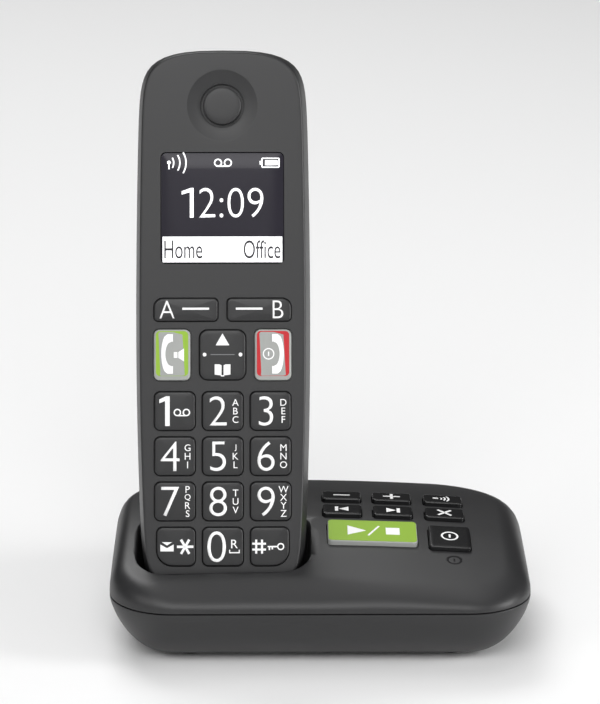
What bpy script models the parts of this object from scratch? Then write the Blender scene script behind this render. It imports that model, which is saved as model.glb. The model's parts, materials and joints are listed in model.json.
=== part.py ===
"""A cordless phone standing in its base station, with a built-in answering machine.

The handset leans back in a pocket at the left of the base. It comes apart into a front and
a rear shell, a battery cover, a display, a keypad and its electronics. The base is a top
and a bottom shell with its own keys, a loudspeaker, sockets and sprung charge contacts.

Lengths are in millimetres until a mesh is written, which is in metres. +X is right, +Y is
back and +Z is up. The handset has a frame of its own: x right, y from its face to its back,
z up along its length, with its origin at the bottom of the face.
"""
import math

import bmesh
import bpy
from mathutils import Euler, Vector

MM = 0.001
GAP = 0.3            # clearance between two pieces that meet
WALL = 1.8           # thickness of the moulded shells
OVERCUT = 2.0        # how far a cutter reaches past the wall it opens

# Handset
HANDSET_WIDTH = 51.5
HANDSET_LENGTH = 162.5
HANDSET_THICK = 26.0
HANDSET_LEAN = math.radians(17.5)
HANDSET_X = -28.5    # middle of the handset on the base
HANDSET_Y = -33.2    # bottom of the handset's face
HANDSET_Z = 18.0
OUTLINE_STEPS = 28   # points down each side of the handset's outline
CORNER_POWER = 19.0  # the higher, the squarer the ends
SIDE_POWER = 2.79
TAPER_TOP = 0.055    # how much the sides draw in towards the ends
TAPER_BOTTOM = 0.09
PARTING = 12.0       # depth of the seam between the two shells

# Handset keys: width, height and middle (x, z), with the radius of each corner
KEY_PROUD = 0.8
KEY_TRAVEL = 0.8
KEY_FLANGE = 0.55    # how far a key's hidden rim reaches past its hole's edge
FLANGE_THICK = 0.8
KEY_CORNER = 1.7
COLUMN_PITCH = 14.0
ROW_PITCH = 13.2
DIGIT_WIDTH = COLUMN_PITCH - 2.2
DIGIT_HEIGHT = ROW_PITCH - 2.0
CURVED_KEY_INSET = 0.6   # the star and hash keys are narrower on their outer side
TOP_ROW_Z = 55.9
SOFT_KEY = (18.6, 6.6)
SOFT_KEY_X = 10.7
SOFT_KEY_Z = 85.5
CALL_KEY = (10.7, 14.9)
CALL_KEY_X = 14.75
NAV_KEY = (13.4, 14.5)
NAV_CORNER = 2.4
NAV_RIM_GAP = 0.6    # room for the rocker's rim to tilt
CONTROL_ROW_Z = 72.3
OUTER_CURVE = 4.6    # the large outside corner of the star and hash keys

# Handset fittings
WINDOW = (35.9, 32.4)
WINDOW_Z = 115.3
WINDOW_THICK = 1.2
WINDOW_LEDGE = 1.0
EAR_Z = 145.3
EAR_DISH_RADIUS = 10.5
EAR_DISH_DEPTH = 0.7
EAR_HOLE_RADIUS = 6.3
EAR_CAP_RADIUS = 5.5
EAR_CAP_RIM = 2.0    # how far the cap's hidden rim reaches past its visible edge
EAR_CAP_BACK = 1.1   # how far the cap reaches behind the front wall
MAT_THICK = 1.4
MAT_MARGIN = 0.5     # the mat stops short of the outer edges of the keys
BOARD_THICK = 1.2
BOARD_MARGIN = WALL + 2.2     # from the handset's widest sides to its board
BOARD_SHARE = 0.866  # the board's length as a share of the handset's
HANDSFREE_Z = 125.0
HANDSFREE_RADIUS = 9.0
HANDSFREE_DEEP = 5.0
MICROPHONE_Z = 5.6
MICROPHONE_RADIUS = 2.4
HANDSET_SCREW_X = 17.5
HANDSET_SCREW_Z = 108.0
HANDSET_SCREW_HEAD = (19.5, 21.0)    # depths of the head's underside and top
COVER_HALF_WIDTH = 16.0
COVER_LOW = 38.0
COVER_HIGH = 100.0
BATTERY_RADIUS = 5.25
BATTERY_LENGTH = 44.0
BATTERY_PITCH = 11.2
WELL_WALL = 1.4
WELL_END_ROOM = 2.6  # room past each end of the cells for their contacts
SHELF_DEPTH = 0.4    # how far the shelf round the cover lies below the back
CONTACT_X = 9.0      # half the spacing of the charge contacts
CONTACT_DEPTH = 17.0  # their distance behind the handset's face
CONTACT_SIZE = (3.4, 2.6)
CONTACT_RECESS = 1.0
CONTACT_THICK = 2.4

# Base
BASE_WIDTH = 124.0
BASE_DEPTH = 88.0
FRONT_RADIUS = 19.0
BACK_RADIUS = 28.0
CORNER_STEPS = 7
FLOOR_Z = 1.2        # underside of the bottom shell
SEAM_Z = 18.5        # where the two base shells meet
PEAK_Z = 33.2        # highest point of the arched top, on the middle line
PEAK_Y = 12.0
ARCH = 0.0029        # fall of the top to the front and back, per square millimetre
CROWN = 0.00058      # fall of the top towards its sides, per square millimetre
CROWN_X = -15.0      # where the top is highest across
SHOULDER = 10.0      # width of the rounded edge of the top
POCKET_PLAY = 1.0    # room round the handset in its pocket
POCKET_WALL = 1.8
POCKET_RIM_WIDTH = 48.6      # width of the handset where it leaves the pocket
POCKET_TAPER = ((3.0, 0.90), (8.0, 0.965), (20.0, 1.0))  # height, share of that width
POCKET_FOOT = 0.76           # the same share at the bottom of the pocket
POCKET_CORNER = 5.0
POCKET_TOP = 60.0            # well above the base, so that the pocket is open
FOOT_RADIUS = 4.8
FOOT_X = 38.5
FOOT_Y = 24.0
SOCKET_SIZE = (11.0, 11.0, 9.0)
SOCKET_WALL = 1.2
SOCKET_SET_BACK = 6.5
SOCKET_Z = 9.2
SOCKET_XS = {"line_socket": 14.0, "power_socket": -2.0}
SPEAKER_RADIUS = 11.0
SPEAKER_AT = (26.0, -12.0)
SPEAKER_RIM = 2.6            # height of the loudspeaker's rim
SPEAKER_TALL = 6.5
SPEAKER_MAGNET_INSET = 4.5
BASE_SCREWS = {"base_screw_left": (-20.0, 24.0), "base_screw_right": (30.0, 24.0)}
BASE_BOARD = (46.0, 52.0)
BASE_BOARD_AT = (30.0, -1.0)
BASE_BOARD_Z = 15.6
SCREW_HEAD_RADIUS = 2.3
SCREW_SHANK_RADIUS = 1.0
BASE_KEY_PROUD = 1.3
BASE_RIM_GAP = 0.9   # more than the curved top falls away across a key
BASE_KEY_TRAVEL = 0.9
SMALL_KEY = (11.7, 7.0)
SMALL_KEY_XS = (6.9, 22.1, 37.7)
SMALL_KEY_YS = (14.7, 3.0)
PLAY_KEY = (26.6, 13.0)
PLAY_KEY_AT = (15.6, -11.7)
ON_KEY = (12.2, 13.0)
ON_KEY_AT = (38.5, -13.0)
INDICATOR_RADIUS = 2.3
INDICATOR_AT = (39.6, -24.6)

COLOURS = {          # colour, roughness, metallic
    "charcoal_plastic": ((0.040, 0.040, 0.042), 0.45, 0.0),
    "key_plastic": ((0.030, 0.030, 0.032), 0.40, 0.0),
    "green_plastic": ((0.30, 0.54, 0.045), 0.40, 0.0),
    "red_plastic": ((0.60, 0.016, 0.035), 0.40, 0.0),
    "window_plastic": ((0.030, 0.028, 0.045), 0.10, 0.0),
    "rubber": ((0.020, 0.020, 0.020), 0.80, 0.0),
    "circuit_board": ((0.020, 0.120, 0.040), 0.50, 0.0),
    "plated_metal": ((0.70, 0.68, 0.62), 0.25, 1.0),
    "steel": ((0.50, 0.50, 0.52), 0.35, 1.0),
    "battery_sleeve": ((0.10, 0.25, 0.55), 0.35, 0.0),
}


def clear_scene():
    for existing in list(bpy.data.objects):
        bpy.data.objects.remove(existing, do_unlink=True)


def material(finish):
    """One Principled material for each finish, made the first time that it is asked for."""
    found = bpy.data.materials.get(finish)
    if found:
        return found
    made = bpy.data.materials.new(finish)
    made.use_nodes = True
    shader = made.node_tree.nodes["Principled BSDF"]
    colour, roughness, metallic = COLOURS[finish]
    shader.inputs["Base Color"].default_value = (*colour, 1.0)
    shader.inputs["Roughness"].default_value = roughness
    shader.inputs["Metallic"].default_value = metallic
    return made


def frame_empty(name, location, rotation=(0.0, 0.0, 0.0)):
    """An empty that carries the pieces built in its frame."""
    empty = bpy.data.objects.new(name, None)
    empty.location = Vector(location) * MM
    empty.rotation_euler = rotation
    bpy.context.scene.collection.objects.link(empty)
    return empty


# Outlines ------------------------------------------------------------------------------

def rounded_rectangle(width, height, radii, steps=3):
    """Points round a rectangle whose corners have the radii (right top, left top, left
    bottom, right bottom); a single number stands for all four."""
    if not isinstance(radii, (tuple, list)):
        radii = (radii,) * 4
    points = []
    signs = ((1, 1), (-1, 1), (-1, -1), (1, -1))
    for quarter, (side, end) in enumerate(signs):
        radius = min(radii[quarter], width / 2 - 0.01, height / 2 - 0.01)
        middle_x = side * (width / 2 - radius)
        middle_y = end * (height / 2 - radius)
        for step in range(steps + 1):
            angle = math.pi / 2 * (quarter + step / steps)
            points.append((middle_x + radius * math.cos(angle), middle_y + radius * math.sin(angle)))
    return points


def circle(radius, steps=24):
    turns = (2 * math.pi * step / steps for step in range(steps))
    return [(radius * math.cos(turn), radius * math.sin(turn)) for turn in turns]


def handset_outline(inset=0.0):
    """The handset seen from the front, drawn in by an inset."""
    half_width = HANDSET_WIDTH / 2 - inset
    half_length = HANDSET_LENGTH / 2
    side = []
    for step in range(OUTLINE_STEPS + 1):
        along = math.sin(math.pi * (step / OUTLINE_STEPS - 0.5))
        taper = TAPER_TOP if along > 0 else TAPER_BOTTOM
        bow = (1 - taper * along ** 2) * max(0.0, 1 - abs(along) ** CORNER_POWER) ** (1 / SIDE_POWER)
        side.append((half_width * bow, half_length + (half_length - inset) * along))
    other = [(-x, z) for x, z in reversed(side[1:-1])]
    return side + other


def base_plan(inset):
    """The base seen from above, drawn in by an inset: round corners, wider at the back."""
    half_width = BASE_WIDTH / 2 - inset
    half_depth = BASE_DEPTH / 2 - inset
    points = []
    for quarter, (side, end) in enumerate(((1, 1), (-1, 1), (-1, -1), (1, -1))):
        radius = max((BACK_RADIUS if end > 0 else FRONT_RADIUS) - inset, 3.0)
        radius = min(radius, half_width - 0.5, half_depth - 0.5)
        for step in range(CORNER_STEPS + 1):
            angle = math.pi / 2 * (quarter + step / CORNER_STEPS)
            points.append((side * (half_width - radius) + radius * math.cos(angle),
                           end * (half_depth - radius) + radius * math.sin(angle)))
        following = ((-1, 1), (-1, -1), (1, -1), (1, 1))[quarter]
        radius_next = max((BACK_RADIUS if following[1] > 0 else FRONT_RADIUS) - inset, 3.0)
        radius_next = min(radius_next, half_width - 0.5, half_depth - 0.5)
        start = points[-1]
        if quarter % 2 == 0:
            finish = (following[0] * (half_width - radius_next), end * half_depth)
        else:
            finish = (side * half_width, following[1] * (half_depth - radius_next))
        for share in (0.25, 0.5, 0.75):
            points.append((start[0] + (finish[0] - start[0]) * share,
                           start[1] + (finish[1] - start[1]) * share))
    return points


def top_height(x, y):
    """Height of the base's top at a point in plan."""
    return PEAK_Z - ARCH * (y - PEAK_Y) ** 2 - CROWN * (x - CROWN_X) ** 2


# Solids --------------------------------------------------------------------------------

def add_rings(mesh, rings, origin=(0.0, 0.0, 0.0)):
    """Skin a stack of rings and close its two ends; a last ring of one point is a peak."""
    shift = Vector(origin)
    loops = [[mesh.verts.new((Vector(point) - shift) * MM) for point in ring] for ring in rings]
    count = len(loops[0])
    for lower, upper in zip(loops, loops[1:]):
        for index in range(count):
            after = (index + 1) % count
            if len(upper) == 1:
                mesh.faces.new((lower[index], lower[after], upper[0]))
            else:
                mesh.faces.new((lower[index], lower[after], upper[after], upper[index]))
    mesh.faces.new(list(reversed(loops[0])))
    if len(loops[-1]) > 1:
        mesh.faces.new(loops[-1])


def make_object(name, mesh, finish, parent=None, origin=(0.0, 0.0, 0.0), rotation=(0.0, 0.0, 0.0)):
    """Turn a bmesh into a named object with outward faces and smooth round sides."""
    bmesh.ops.recalc_face_normals(mesh, faces=mesh.faces)
    data = bpy.data.meshes.new(name)
    mesh.to_mesh(data)
    mesh.free()
    data.materials.append(material(finish))
    data.shade_smooth()
    data.set_sharp_from_angle(angle=math.radians(35))
    made = bpy.data.objects.new(name, data)
    made.location = Vector(origin) * MM
    made.rotation_euler = rotation
    made.parent = parent
    bpy.context.scene.collection.objects.link(made)
    return made


def ring_solid(name, rings, finish, parent=None, origin=(0.0, 0.0, 0.0)):
    mesh = bmesh.new()
    add_rings(mesh, rings, origin)
    return make_object(name, mesh, finish, parent, origin)


def cutter(name, ring_sets, parent=None):
    """A hidden tool for a Boolean, made of one or more ring stacks."""
    mesh = bmesh.new()
    for rings in ring_sets:
        add_rings(mesh, rings)
    tool = make_object(name, mesh, "steel", parent)
    tool.hide_render = True
    tool.display_type = "WIRE"
    return tool


def boolean(target, tool, operation="DIFFERENCE"):
    step = target.modifiers.new(tool.name, "BOOLEAN")
    step.operation = operation
    step.solver = "EXACT"
    step.object = tool


def facing(outline, middle, depths):
    """Rings of an outline in the handset's face plane at each depth y; an entry of depths
    may be (depth, growth) to widen or narrow the outline there."""
    rings = []
    for entry in depths:
        depth, growth = entry if isinstance(entry, tuple) else (entry, 0.0)
        points = outline(growth)
        rings.append([(middle[0] + x, depth, middle[1] + z) for x, z in points])
    return rings


def stacked(outline, middle, heights):
    """The same for a plan outline at each height z."""
    rings = []
    for entry in heights:
        height, growth = entry if isinstance(entry, tuple) else (entry, 0.0)
        points = outline(growth)
        rings.append([(middle[0] + x, middle[1] + y, height) for x, y in points])
    return rings


def rectangle_outline(width, height, radii):
    """An outline function of a rounded rectangle, for facing and stacked."""
    corners = radii if isinstance(radii, (tuple, list)) else (radii,) * 4

    def outline(growth):
        grown = [max(0.15, radius + growth) for radius in corners]
        return rounded_rectangle(width + 2 * growth, height + 2 * growth, grown)
    return outline


def round_outline(radius, steps=24):
    return lambda growth: circle(radius + growth, steps)


def box_rings(low, high):
    """Two rings that make a plain box."""
    corners = ((low[0], low[1]), (high[0], low[1]), (high[0], high[1]), (low[0], high[1]))
    return [[(x, y, z) for x, y in corners] for z in (low[2], high[2])]


# Keys ----------------------------------------------------------------------------------

def handset_keys():
    """Name: (width, height, corner radii, middle x, middle z, finish)."""
    plain = (KEY_CORNER,) * 4
    keys = {
        "key_soft_a": (*SOFT_KEY, (1.2, 2.6, 1.2, 1.2), -SOFT_KEY_X, SOFT_KEY_Z, "key_plastic"),
        "key_soft_b": (*SOFT_KEY, (2.6, 1.2, 1.2, 1.2), SOFT_KEY_X, SOFT_KEY_Z, "key_plastic"),
        "key_talk": (*CALL_KEY, plain, -CALL_KEY_X, CONTROL_ROW_Z, "green_plastic"),
        "key_end": (*CALL_KEY, plain, CALL_KEY_X, CONTROL_ROW_Z, "red_plastic"),
        "key_nav": (*NAV_KEY, (NAV_CORNER,) * 4, 0.0, CONTROL_ROW_Z, "key_plastic"),
    }
    labels = ("1", "2", "3", "4", "5", "6", "7", "8", "9", "star", "0", "hash")
    for place, label in enumerate(labels):
        row, column = divmod(place, 3)
        middle_x = (column - 1) * COLUMN_PITCH
        middle_z = TOP_ROW_Z - row * ROW_PITCH
        width, corners = DIGIT_WIDTH, plain
        if label in ("star", "hash"):
            inward = CURVED_KEY_INSET if label == "star" else -CURVED_KEY_INSET
            width -= abs(inward)
            middle_x += inward / 2
            corners = list(plain)
            corners[2 if label == "star" else 3] = OUTER_CURVE
        keys["key_" + label] = (width, DIGIT_HEIGHT, tuple(corners), middle_x, middle_z, "key_plastic")
    return keys


def base_keys():
    """Name: (width, depth, corner radius, middle x, middle y, finish)."""
    keys = {}
    names = ("base_key_minus", "base_key_plus", "base_key_page",
             "base_key_previous", "base_key_next", "base_key_delete")
    for place, name in enumerate(names):
        row, column = divmod(place, 3)
        keys[name] = (*SMALL_KEY, 1.0, SMALL_KEY_XS[column], SMALL_KEY_YS[row], "key_plastic")
    keys["base_key_play_stop"] = (*PLAY_KEY, 1.4, *PLAY_KEY_AT, "green_plastic")
    keys["base_key_on_off"] = (*ON_KEY, 1.2, *ON_KEY_AT, "key_plastic")
    return keys


def surface_frame(name, x, y):
    """An empty on the base's top at a point in plan, its z square to the surface."""
    tilt_front = -math.atan(2 * ARCH * (y - PEAK_Y))
    tilt_side = math.atan(2 * CROWN * (x - CROWN_X))
    return frame_empty(name, (x, y, top_height(x, y)), Euler((tilt_front, tilt_side, 0.0)))


# Handset -------------------------------------------------------------------------------

def cup_rings(outline, outer, inner):
    """Rings of a shell open at one side: up the inside to the rim, then round the outside."""
    rings = []
    for depth, inset in inner + outer:
        rings.append([(x, depth, z) for x, z in outline(inset)])
    return rings


def build_handset(frame):
    keys = handset_keys()
    build_handset_front(frame, keys)
    build_handset_rear(frame)
    build_handset_keys(frame, keys)
    build_handset_insides(frame)


def build_handset_front(frame, keys):
    outer = [(PARTING - GAP / 2, 0.0), (6.0, 0.45), (1.2, 1.25), (0.35, 1.65), (0.0, 2.3)]
    inner = [(WALL, WALL + 0.9), (6.0, WALL + 0.35), (PARTING - GAP / 2, WALL)]
    shell = ring_solid("handset_front_shell", cup_rings(handset_outline, outer, inner),
                       "charcoal_plastic", frame)
    through = (-OVERCUT, WALL + OVERCUT)
    holes = []
    for width, height, corners, middle_x, middle_z, _ in keys.values():
        outline = rectangle_outline(width + 2 * GAP, height + 2 * GAP, corners)
        holes.append(facing(outline, (middle_x, middle_z), through))
    window = rectangle_outline(*WINDOW, 1.5)
    ledge = WINDOW_THICK + GAP
    holes.append(facing(window, (0.0, WINDOW_Z), (
        (-OVERCUT, GAP), (ledge, GAP), (ledge, -WINDOW_LEDGE), (WALL + OVERCUT, -WINDOW_LEDGE))))
    dish = round_outline(EAR_HOLE_RADIUS)
    spread = EAR_DISH_RADIUS - EAR_HOLE_RADIUS
    holes.append(facing(dish, (0.0, EAR_Z), (
        (-OVERCUT, spread), (0.0, spread), (EAR_DISH_DEPTH, 0.0), (WALL + OVERCUT, 0.0))))
    boolean(shell, cutter("front_holes", holes, frame))
    ring_solid("display_window", facing(window, (0.0, WINDOW_Z), (0.0, WINDOW_THICK)),
               "window_plastic", frame)
    cap = round_outline(EAR_CAP_RADIUS)
    ring_solid("earpiece_cap", facing(cap, (0.0, EAR_Z), (
        (0.15, -0.5), (0.35, 0.0), (WALL + GAP, 0.0), (WALL + GAP, EAR_CAP_RIM),
        (WALL + EAR_CAP_BACK, EAR_CAP_RIM))),
        "charcoal_plastic", frame)


def key_rings(width, height, corners, proud, plane, rim_gap=GAP):
    """A key's cap and hidden rim, along the axis that it is pressed on. plane places a
    point (across, along, depth) in the frame that it is built in."""
    outline = rectangle_outline(width, height, corners)
    rim = GAP + KEY_FLANGE
    rim_top = WALL + rim_gap
    levels = ((-proud, -0.45), (-proud + 0.3, 0.0), (rim_top, 0.0), (rim_top, rim),
              (rim_top + FLANGE_THICK, rim))
    return [[plane(across, along, depth) for across, along in outline(growth)]
            for depth, growth in levels]


def build_handset_keys(frame, keys):
    for name, (width, height, corners, middle_x, middle_z, finish) in keys.items():
        # A key that presses in has its origin at the surface; the rocker's is on its pivot.
        rim_gap = NAV_RIM_GAP if name == "key_nav" else GAP
        origin = (middle_x, WALL + rim_gap if name == "key_nav" else 0.0, middle_z)

        def plane(across, along, depth):
            return (middle_x + across, depth, middle_z + along)
        rings = key_rings(width, height, corners, KEY_PROUD, plane, rim_gap)
        ring_solid(name, rings, finish, frame, origin)


def build_handset_rear(frame):
    back = HANDSET_THICK
    outer = [(PARTING + GAP / 2, 0.0), (17.0, 0.5), (21.5, 2.0), (24.6, 4.8), (25.7, 7.2), (back, 9.4)]
    inner = [(back - WALL, WALL + 7.6), (24.6 - WALL, WALL + 4.2), (17.0, WALL + 0.5),
             (PARTING + GAP / 2, WALL)]
    shell = ring_solid("handset_rear_shell", cup_rings(handset_outline, outer, inner),
                       "charcoal_plastic", frame)
    half_well = BATTERY_PITCH / 2 + BATTERY_RADIUS + GAP
    middle = (COVER_LOW + COVER_HIGH) / 2
    well_low = middle - BATTERY_LENGTH / 2 - WELL_END_ROOM
    well_high = middle + BATTERY_LENGTH / 2 + WELL_END_ROOM
    well_top = back - WALL - GAP
    well_floor = well_top - 2 * BATTERY_RADIUS - GAP
    edge = WELL_WALL
    shelf_top = back - SHELF_DEPTH
    tray = cutter("battery_tray", [box_rings(
        (-COVER_HALF_WIDTH - GAP - 1.0, well_top - edge, COVER_LOW - GAP - edge),
        (COVER_HALF_WIDTH + GAP + 1.0, shelf_top, COVER_HIGH + GAP + edge))], frame)
    well = cutter("battery_well_walls", [box_rings(
        (-half_well - edge, well_floor - edge, well_low - edge),
        (half_well + edge, well_top, well_high + edge))], frame)
    boolean(shell, tray, "UNION")
    boolean(shell, well, "UNION")
    opening = box_rings((-COVER_HALF_WIDTH - GAP, well_top, COVER_LOW - GAP),
                        (COVER_HALF_WIDTH + GAP, back + OVERCUT, COVER_HIGH + GAP))
    well_space = box_rings((-half_well, well_floor, well_low), (half_well, back, well_high))
    boolean(shell, cutter("cover_opening", [opening], frame))
    boolean(shell, cutter("battery_well_space", [well_space], frame))
    slots = [contact_slot(side) for side in (-1, 1)]
    boolean(shell, cutter("charge_slots", slots, frame))
    build_battery_cover(frame)
    for side, name in ((-1, "battery_left"), (1, "battery_right")):
        outline = round_outline(BATTERY_RADIUS, 18)
        x = side * BATTERY_PITCH / 2
        y = well_floor + GAP + BATTERY_RADIUS
        low = middle - BATTERY_LENGTH / 2
        high = middle + BATTERY_LENGTH / 2
        rings = stacked(outline, (x, y), ((low, -0.4), (low + 0.4, 0.0), (high, 0.0), (high, -3.2),
                                          (high + 1.0, -3.2)))
        ring_solid(name, rings, "battery_sleeve", frame)
    for end, name in ((-1, "battery_contact_lower"), (1, "battery_contact_upper")):
        inner_face = (well_low + GAP, well_low + 1.1) if end < 0 else (well_high - 1.1, well_high - GAP)
        ring_solid(name, box_rings((-half_well + 1.0, well_floor + 1.5, inner_face[0]),
                                   (half_well - 1.0, well_top - 1.5, inner_face[1])),
                   "plated_metal", frame)


def contact_slot(side):
    """The slot through the handset's lower end for one charge contact."""
    half_x = CONTACT_SIZE[0] / 2 + GAP
    half_y = CONTACT_SIZE[1] / 2 + GAP
    x = side * CONTACT_X
    return box_rings((x - half_x, CONTACT_DEPTH - half_y, -OVERCUT),
                     (x + half_x, CONTACT_DEPTH + half_y, WALL + OVERCUT))


def build_battery_cover(frame):
    """A plate with a rounded upper edge that turns on its two upper lugs."""
    back = HANDSET_THICK
    radius = (WALL - GAP) / 2
    pivot_y = back - radius
    pivot_z = COVER_HIGH - radius
    profile = [(back - 2 * radius, COVER_LOW), (back, COVER_LOW)]
    for step in range(7):
        angle = math.pi * step / 6
        profile.append((pivot_y + radius * math.cos(angle), pivot_z + radius * math.sin(angle)))
    rings = [[(x, y, z) for y, z in profile] for x in (-COVER_HALF_WIDTH, COVER_HALF_WIDTH)]
    ring_solid("battery_cover", rings, "charcoal_plastic", frame, (0.0, pivot_y, pivot_z))


def build_handset_insides(frame):
    mat_front = WALL + GAP + FLANGE_THICK + KEY_TRAVEL + GAP
    half_keys = COLUMN_PITCH + DIGIT_WIDTH / 2
    keypad_low = TOP_ROW_Z - 3 * ROW_PITCH - DIGIT_HEIGHT / 2
    keypad_high = SOFT_KEY_Z + SOFT_KEY[1] / 2
    middle = (keypad_low + keypad_high) / 2
    mat = rectangle_outline(2 * (half_keys - MAT_MARGIN), keypad_high - keypad_low, 4.0)
    ring_solid("keypad_mat", facing(mat, (0.0, middle), (mat_front, mat_front + MAT_THICK)), "rubber", frame)
    board_front = mat_front + MAT_THICK + GAP
    board = rectangle_outline(HANDSET_WIDTH - 2 * BOARD_MARGIN, HANDSET_LENGTH * BOARD_SHARE, 6.0)
    ring_solid("handset_circuit_board", facing(
        board, (0.0, HANDSET_LENGTH / 2), (board_front, board_front + BOARD_THICK)), "circuit_board", frame)
    module = rectangle_outline(WINDOW[0] + 3.0, WINDOW[1] - 1.0, 1.0)
    ring_solid("display_module", facing(module, (0.0, WINDOW_Z), (WALL + GAP, board_front - GAP)),
               "window_plastic", frame)
    receiver = round_outline(EAR_HOLE_RADIUS)
    ring_solid("earpiece_receiver", facing(receiver, (0.0, EAR_Z), (
        WALL + EAR_CAP_BACK + GAP, board_front - GAP)),
               "steel", frame)
    behind = board_front + BOARD_THICK + GAP
    loud = round_outline(HANDSFREE_RADIUS)
    ring_solid("handsfree_speaker", facing(loud, (0.0, HANDSFREE_Z), (behind, behind + HANDSFREE_DEEP)),
               "steel", frame)
    capsule = round_outline(MICROPHONE_RADIUS, 12)
    ring_solid("microphone", facing(capsule, (0.0, MICROPHONE_Z), (WALL + 2.2, WALL + 4.2)), "steel", frame)
    for side, name in ((-1, "handset_charge_contact_left"), (1, "handset_charge_contact_right")):
        half_x, half_y = CONTACT_SIZE[0] / 2, CONTACT_SIZE[1] / 2
        x = side * CONTACT_X
        ring_solid(name, box_rings((x - half_x, CONTACT_DEPTH - half_y, CONTACT_RECESS),
                                   (x + half_x, CONTACT_DEPTH + half_y, CONTACT_RECESS + CONTACT_THICK)),
                   "plated_metal", frame)
    for side, name in ((-1, "handset_screw_left"), (1, "handset_screw_right")):
        under, top = HANDSET_SCREW_HEAD
        rings = facing(round_outline(SCREW_SHANK_RADIUS, 12), (side * HANDSET_SCREW_X, HANDSET_SCREW_Z), (
            (behind, 0.0), (under, 0.0), (under, 1.2), (top, 1.2)))
        ring_solid(name, rings, "steel", frame)


# Base ----------------------------------------------------------------------------------

def dome_rings(offset, bottom):
    """The top of the base as a solid, drawn in by an offset on every side but the bottom."""
    edge = ((0.0, 0.0), (0.05, 0.25), (0.9, 0.52), (2.9, 0.78), (6.0, 0.94), (SHOULDER, 1.0))
    rings = [[(x, y, bottom) for x, y in base_plan(offset)]]
    for inset, share in edge:
        ring = []
        for x, y in base_plan(offset + inset):
            high = top_height(x, y) - offset
            ring.append((x, y, SEAM_Z + (high - SEAM_Z) * share + (0.01 if share == 0.0 else 0.0)))
        rings.append(ring)
    for scale in (0.8, 0.55, 0.3):
        ring = []
        for x, y in base_plan(offset + SHOULDER):
            inner_x, inner_y = x * scale, y * scale
            ring.append((inner_x, inner_y, top_height(inner_x, inner_y) - offset))
        rings.append(ring)
    rings.append([(0.0, 0.0, top_height(0.0, 0.0) - offset)])
    return rings


def pocket_rings(growth, low, high):
    """The handset's pocket in the handset's frame, wider by a growth, tapered at the foot
    where the handset's corners are round."""
    levels = ((low, POCKET_FOOT), *POCKET_TAPER, (high, 1.0))
    depth = HANDSET_THICK + 2 * POCKET_PLAY
    rings = []
    for level, share in levels:
        width = POCKET_RIM_WIDTH * share + 2 * POCKET_PLAY
        outline = rounded_rectangle(width + 2 * growth, depth + 2 * growth, POCKET_CORNER + growth)
        rings.append([(x, y + HANDSET_THICK / 2, level) for x, y in outline])
    return rings


def build_base_top(handset_frame, keys):
    shell = ring_solid("base_top_shell", dome_rings(0.0, SEAM_Z), "charcoal_plastic")
    hollow = cutter("top_hollow", [dome_rings(WALL, SEAM_Z - OVERCUT)])
    boolean(shell, hollow)
    cup = cutter("pocket_cup", [pocket_rings(POCKET_WALL, -GAP - POCKET_WALL, POCKET_TOP)], handset_frame)
    boolean(cup, cutter("cup_limit", [dome_rings(WALL / 2, FLOOR_Z)]), "INTERSECT")
    boolean(shell, cup, "UNION")
    boolean(shell, cutter("pocket_space", [pocket_rings(0.0, -GAP, POCKET_TOP + OVERCUT)], handset_frame))
    slots = []
    for side in (-1, 1):
        half_x, half_y = CONTACT_SIZE[0] / 2, CONTACT_SIZE[1] / 2
        x = side * CONTACT_X
        slots.append(box_rings((x - half_x, CONTACT_DEPTH - half_y, -POCKET_WALL - OVERCUT),
                               (x + half_x, CONTACT_DEPTH + half_y, OVERCUT)))
    boolean(shell, cutter("contact_slots", slots, handset_frame))
    through = (-WALL - OVERCUT, OVERCUT)
    for name, (width, depth, corner, middle_x, middle_y, _) in keys.items():
        place = surface_frame(name + "_opening_frame", middle_x, middle_y)
        outline = rectangle_outline(width + 2 * GAP, depth + 2 * GAP, corner)
        boolean(shell, cutter(name + "_opening", [stacked(outline, (0.0, 0.0), through)], place))
    place = surface_frame("indicator_frame", *INDICATOR_AT)
    hole = round_outline(INDICATOR_RADIUS + GAP)
    boolean(shell, cutter("indicator_opening", [stacked(hole, (0.0, 0.0), through)], place))
    ring_solid("answer_indicator", stacked(round_outline(INDICATOR_RADIUS, 20), (0.0, 0.0), (
        (-WALL - 1.5, 0.0), (-0.25, 0.0), (-0.05, -0.3))), "window_plastic", place)


def build_base_keys(keys):
    for name, (width, depth, corner, middle_x, middle_y, finish) in keys.items():
        place = surface_frame(name + "_frame", middle_x, middle_y)

        def plane(across, along, level):
            return (across, along, -level)
        rings = key_rings(width, depth, corner, BASE_KEY_PROUD, plane, BASE_RIM_GAP)
        ring_solid(name, rings, finish, place)


def tub_rings():
    """The bottom shell: up its hollow inside, over the rim and down its curved outside."""
    rim = SEAM_Z - GAP
    height = rim - FLOOR_Z
    outside = ((1.0, 0.0), (0.76, 0.7), (0.54, 2.1), (0.32, 4.8), (0.14, 8.6), (0.035, 12.0), (0.0, 15.0))
    inside = ((0.0, 15.0), (0.2, 9.0), (0.45, 4.4), (0.76, 1.6), (1.0, 0.9))
    rings = []
    for share, inset in inside:
        level = FLOOR_Z + WALL + (height - WALL) * share
        rings.append([(x, y, level) for x, y in base_plan(inset + WALL)])
    for share, inset in outside:
        rings.append([(x, y, FLOOR_Z + height * share) for x, y in base_plan(inset)])
    return rings


def screw_profile(clearance, low, high):
    """Rings of a screw pointing up from its head, grown by a clearance."""
    head = SCREW_HEAD_RADIUS + clearance
    shank = SCREW_SHANK_RADIUS + clearance
    step = FLOOR_Z + 1.1 + clearance
    return lambda x, y: [[(x + px, y + py, level) for px, py in circle(radius, 14)]
                         for radius, level in ((head, low), (head, step), (shank, step), (shank, high))]


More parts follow.
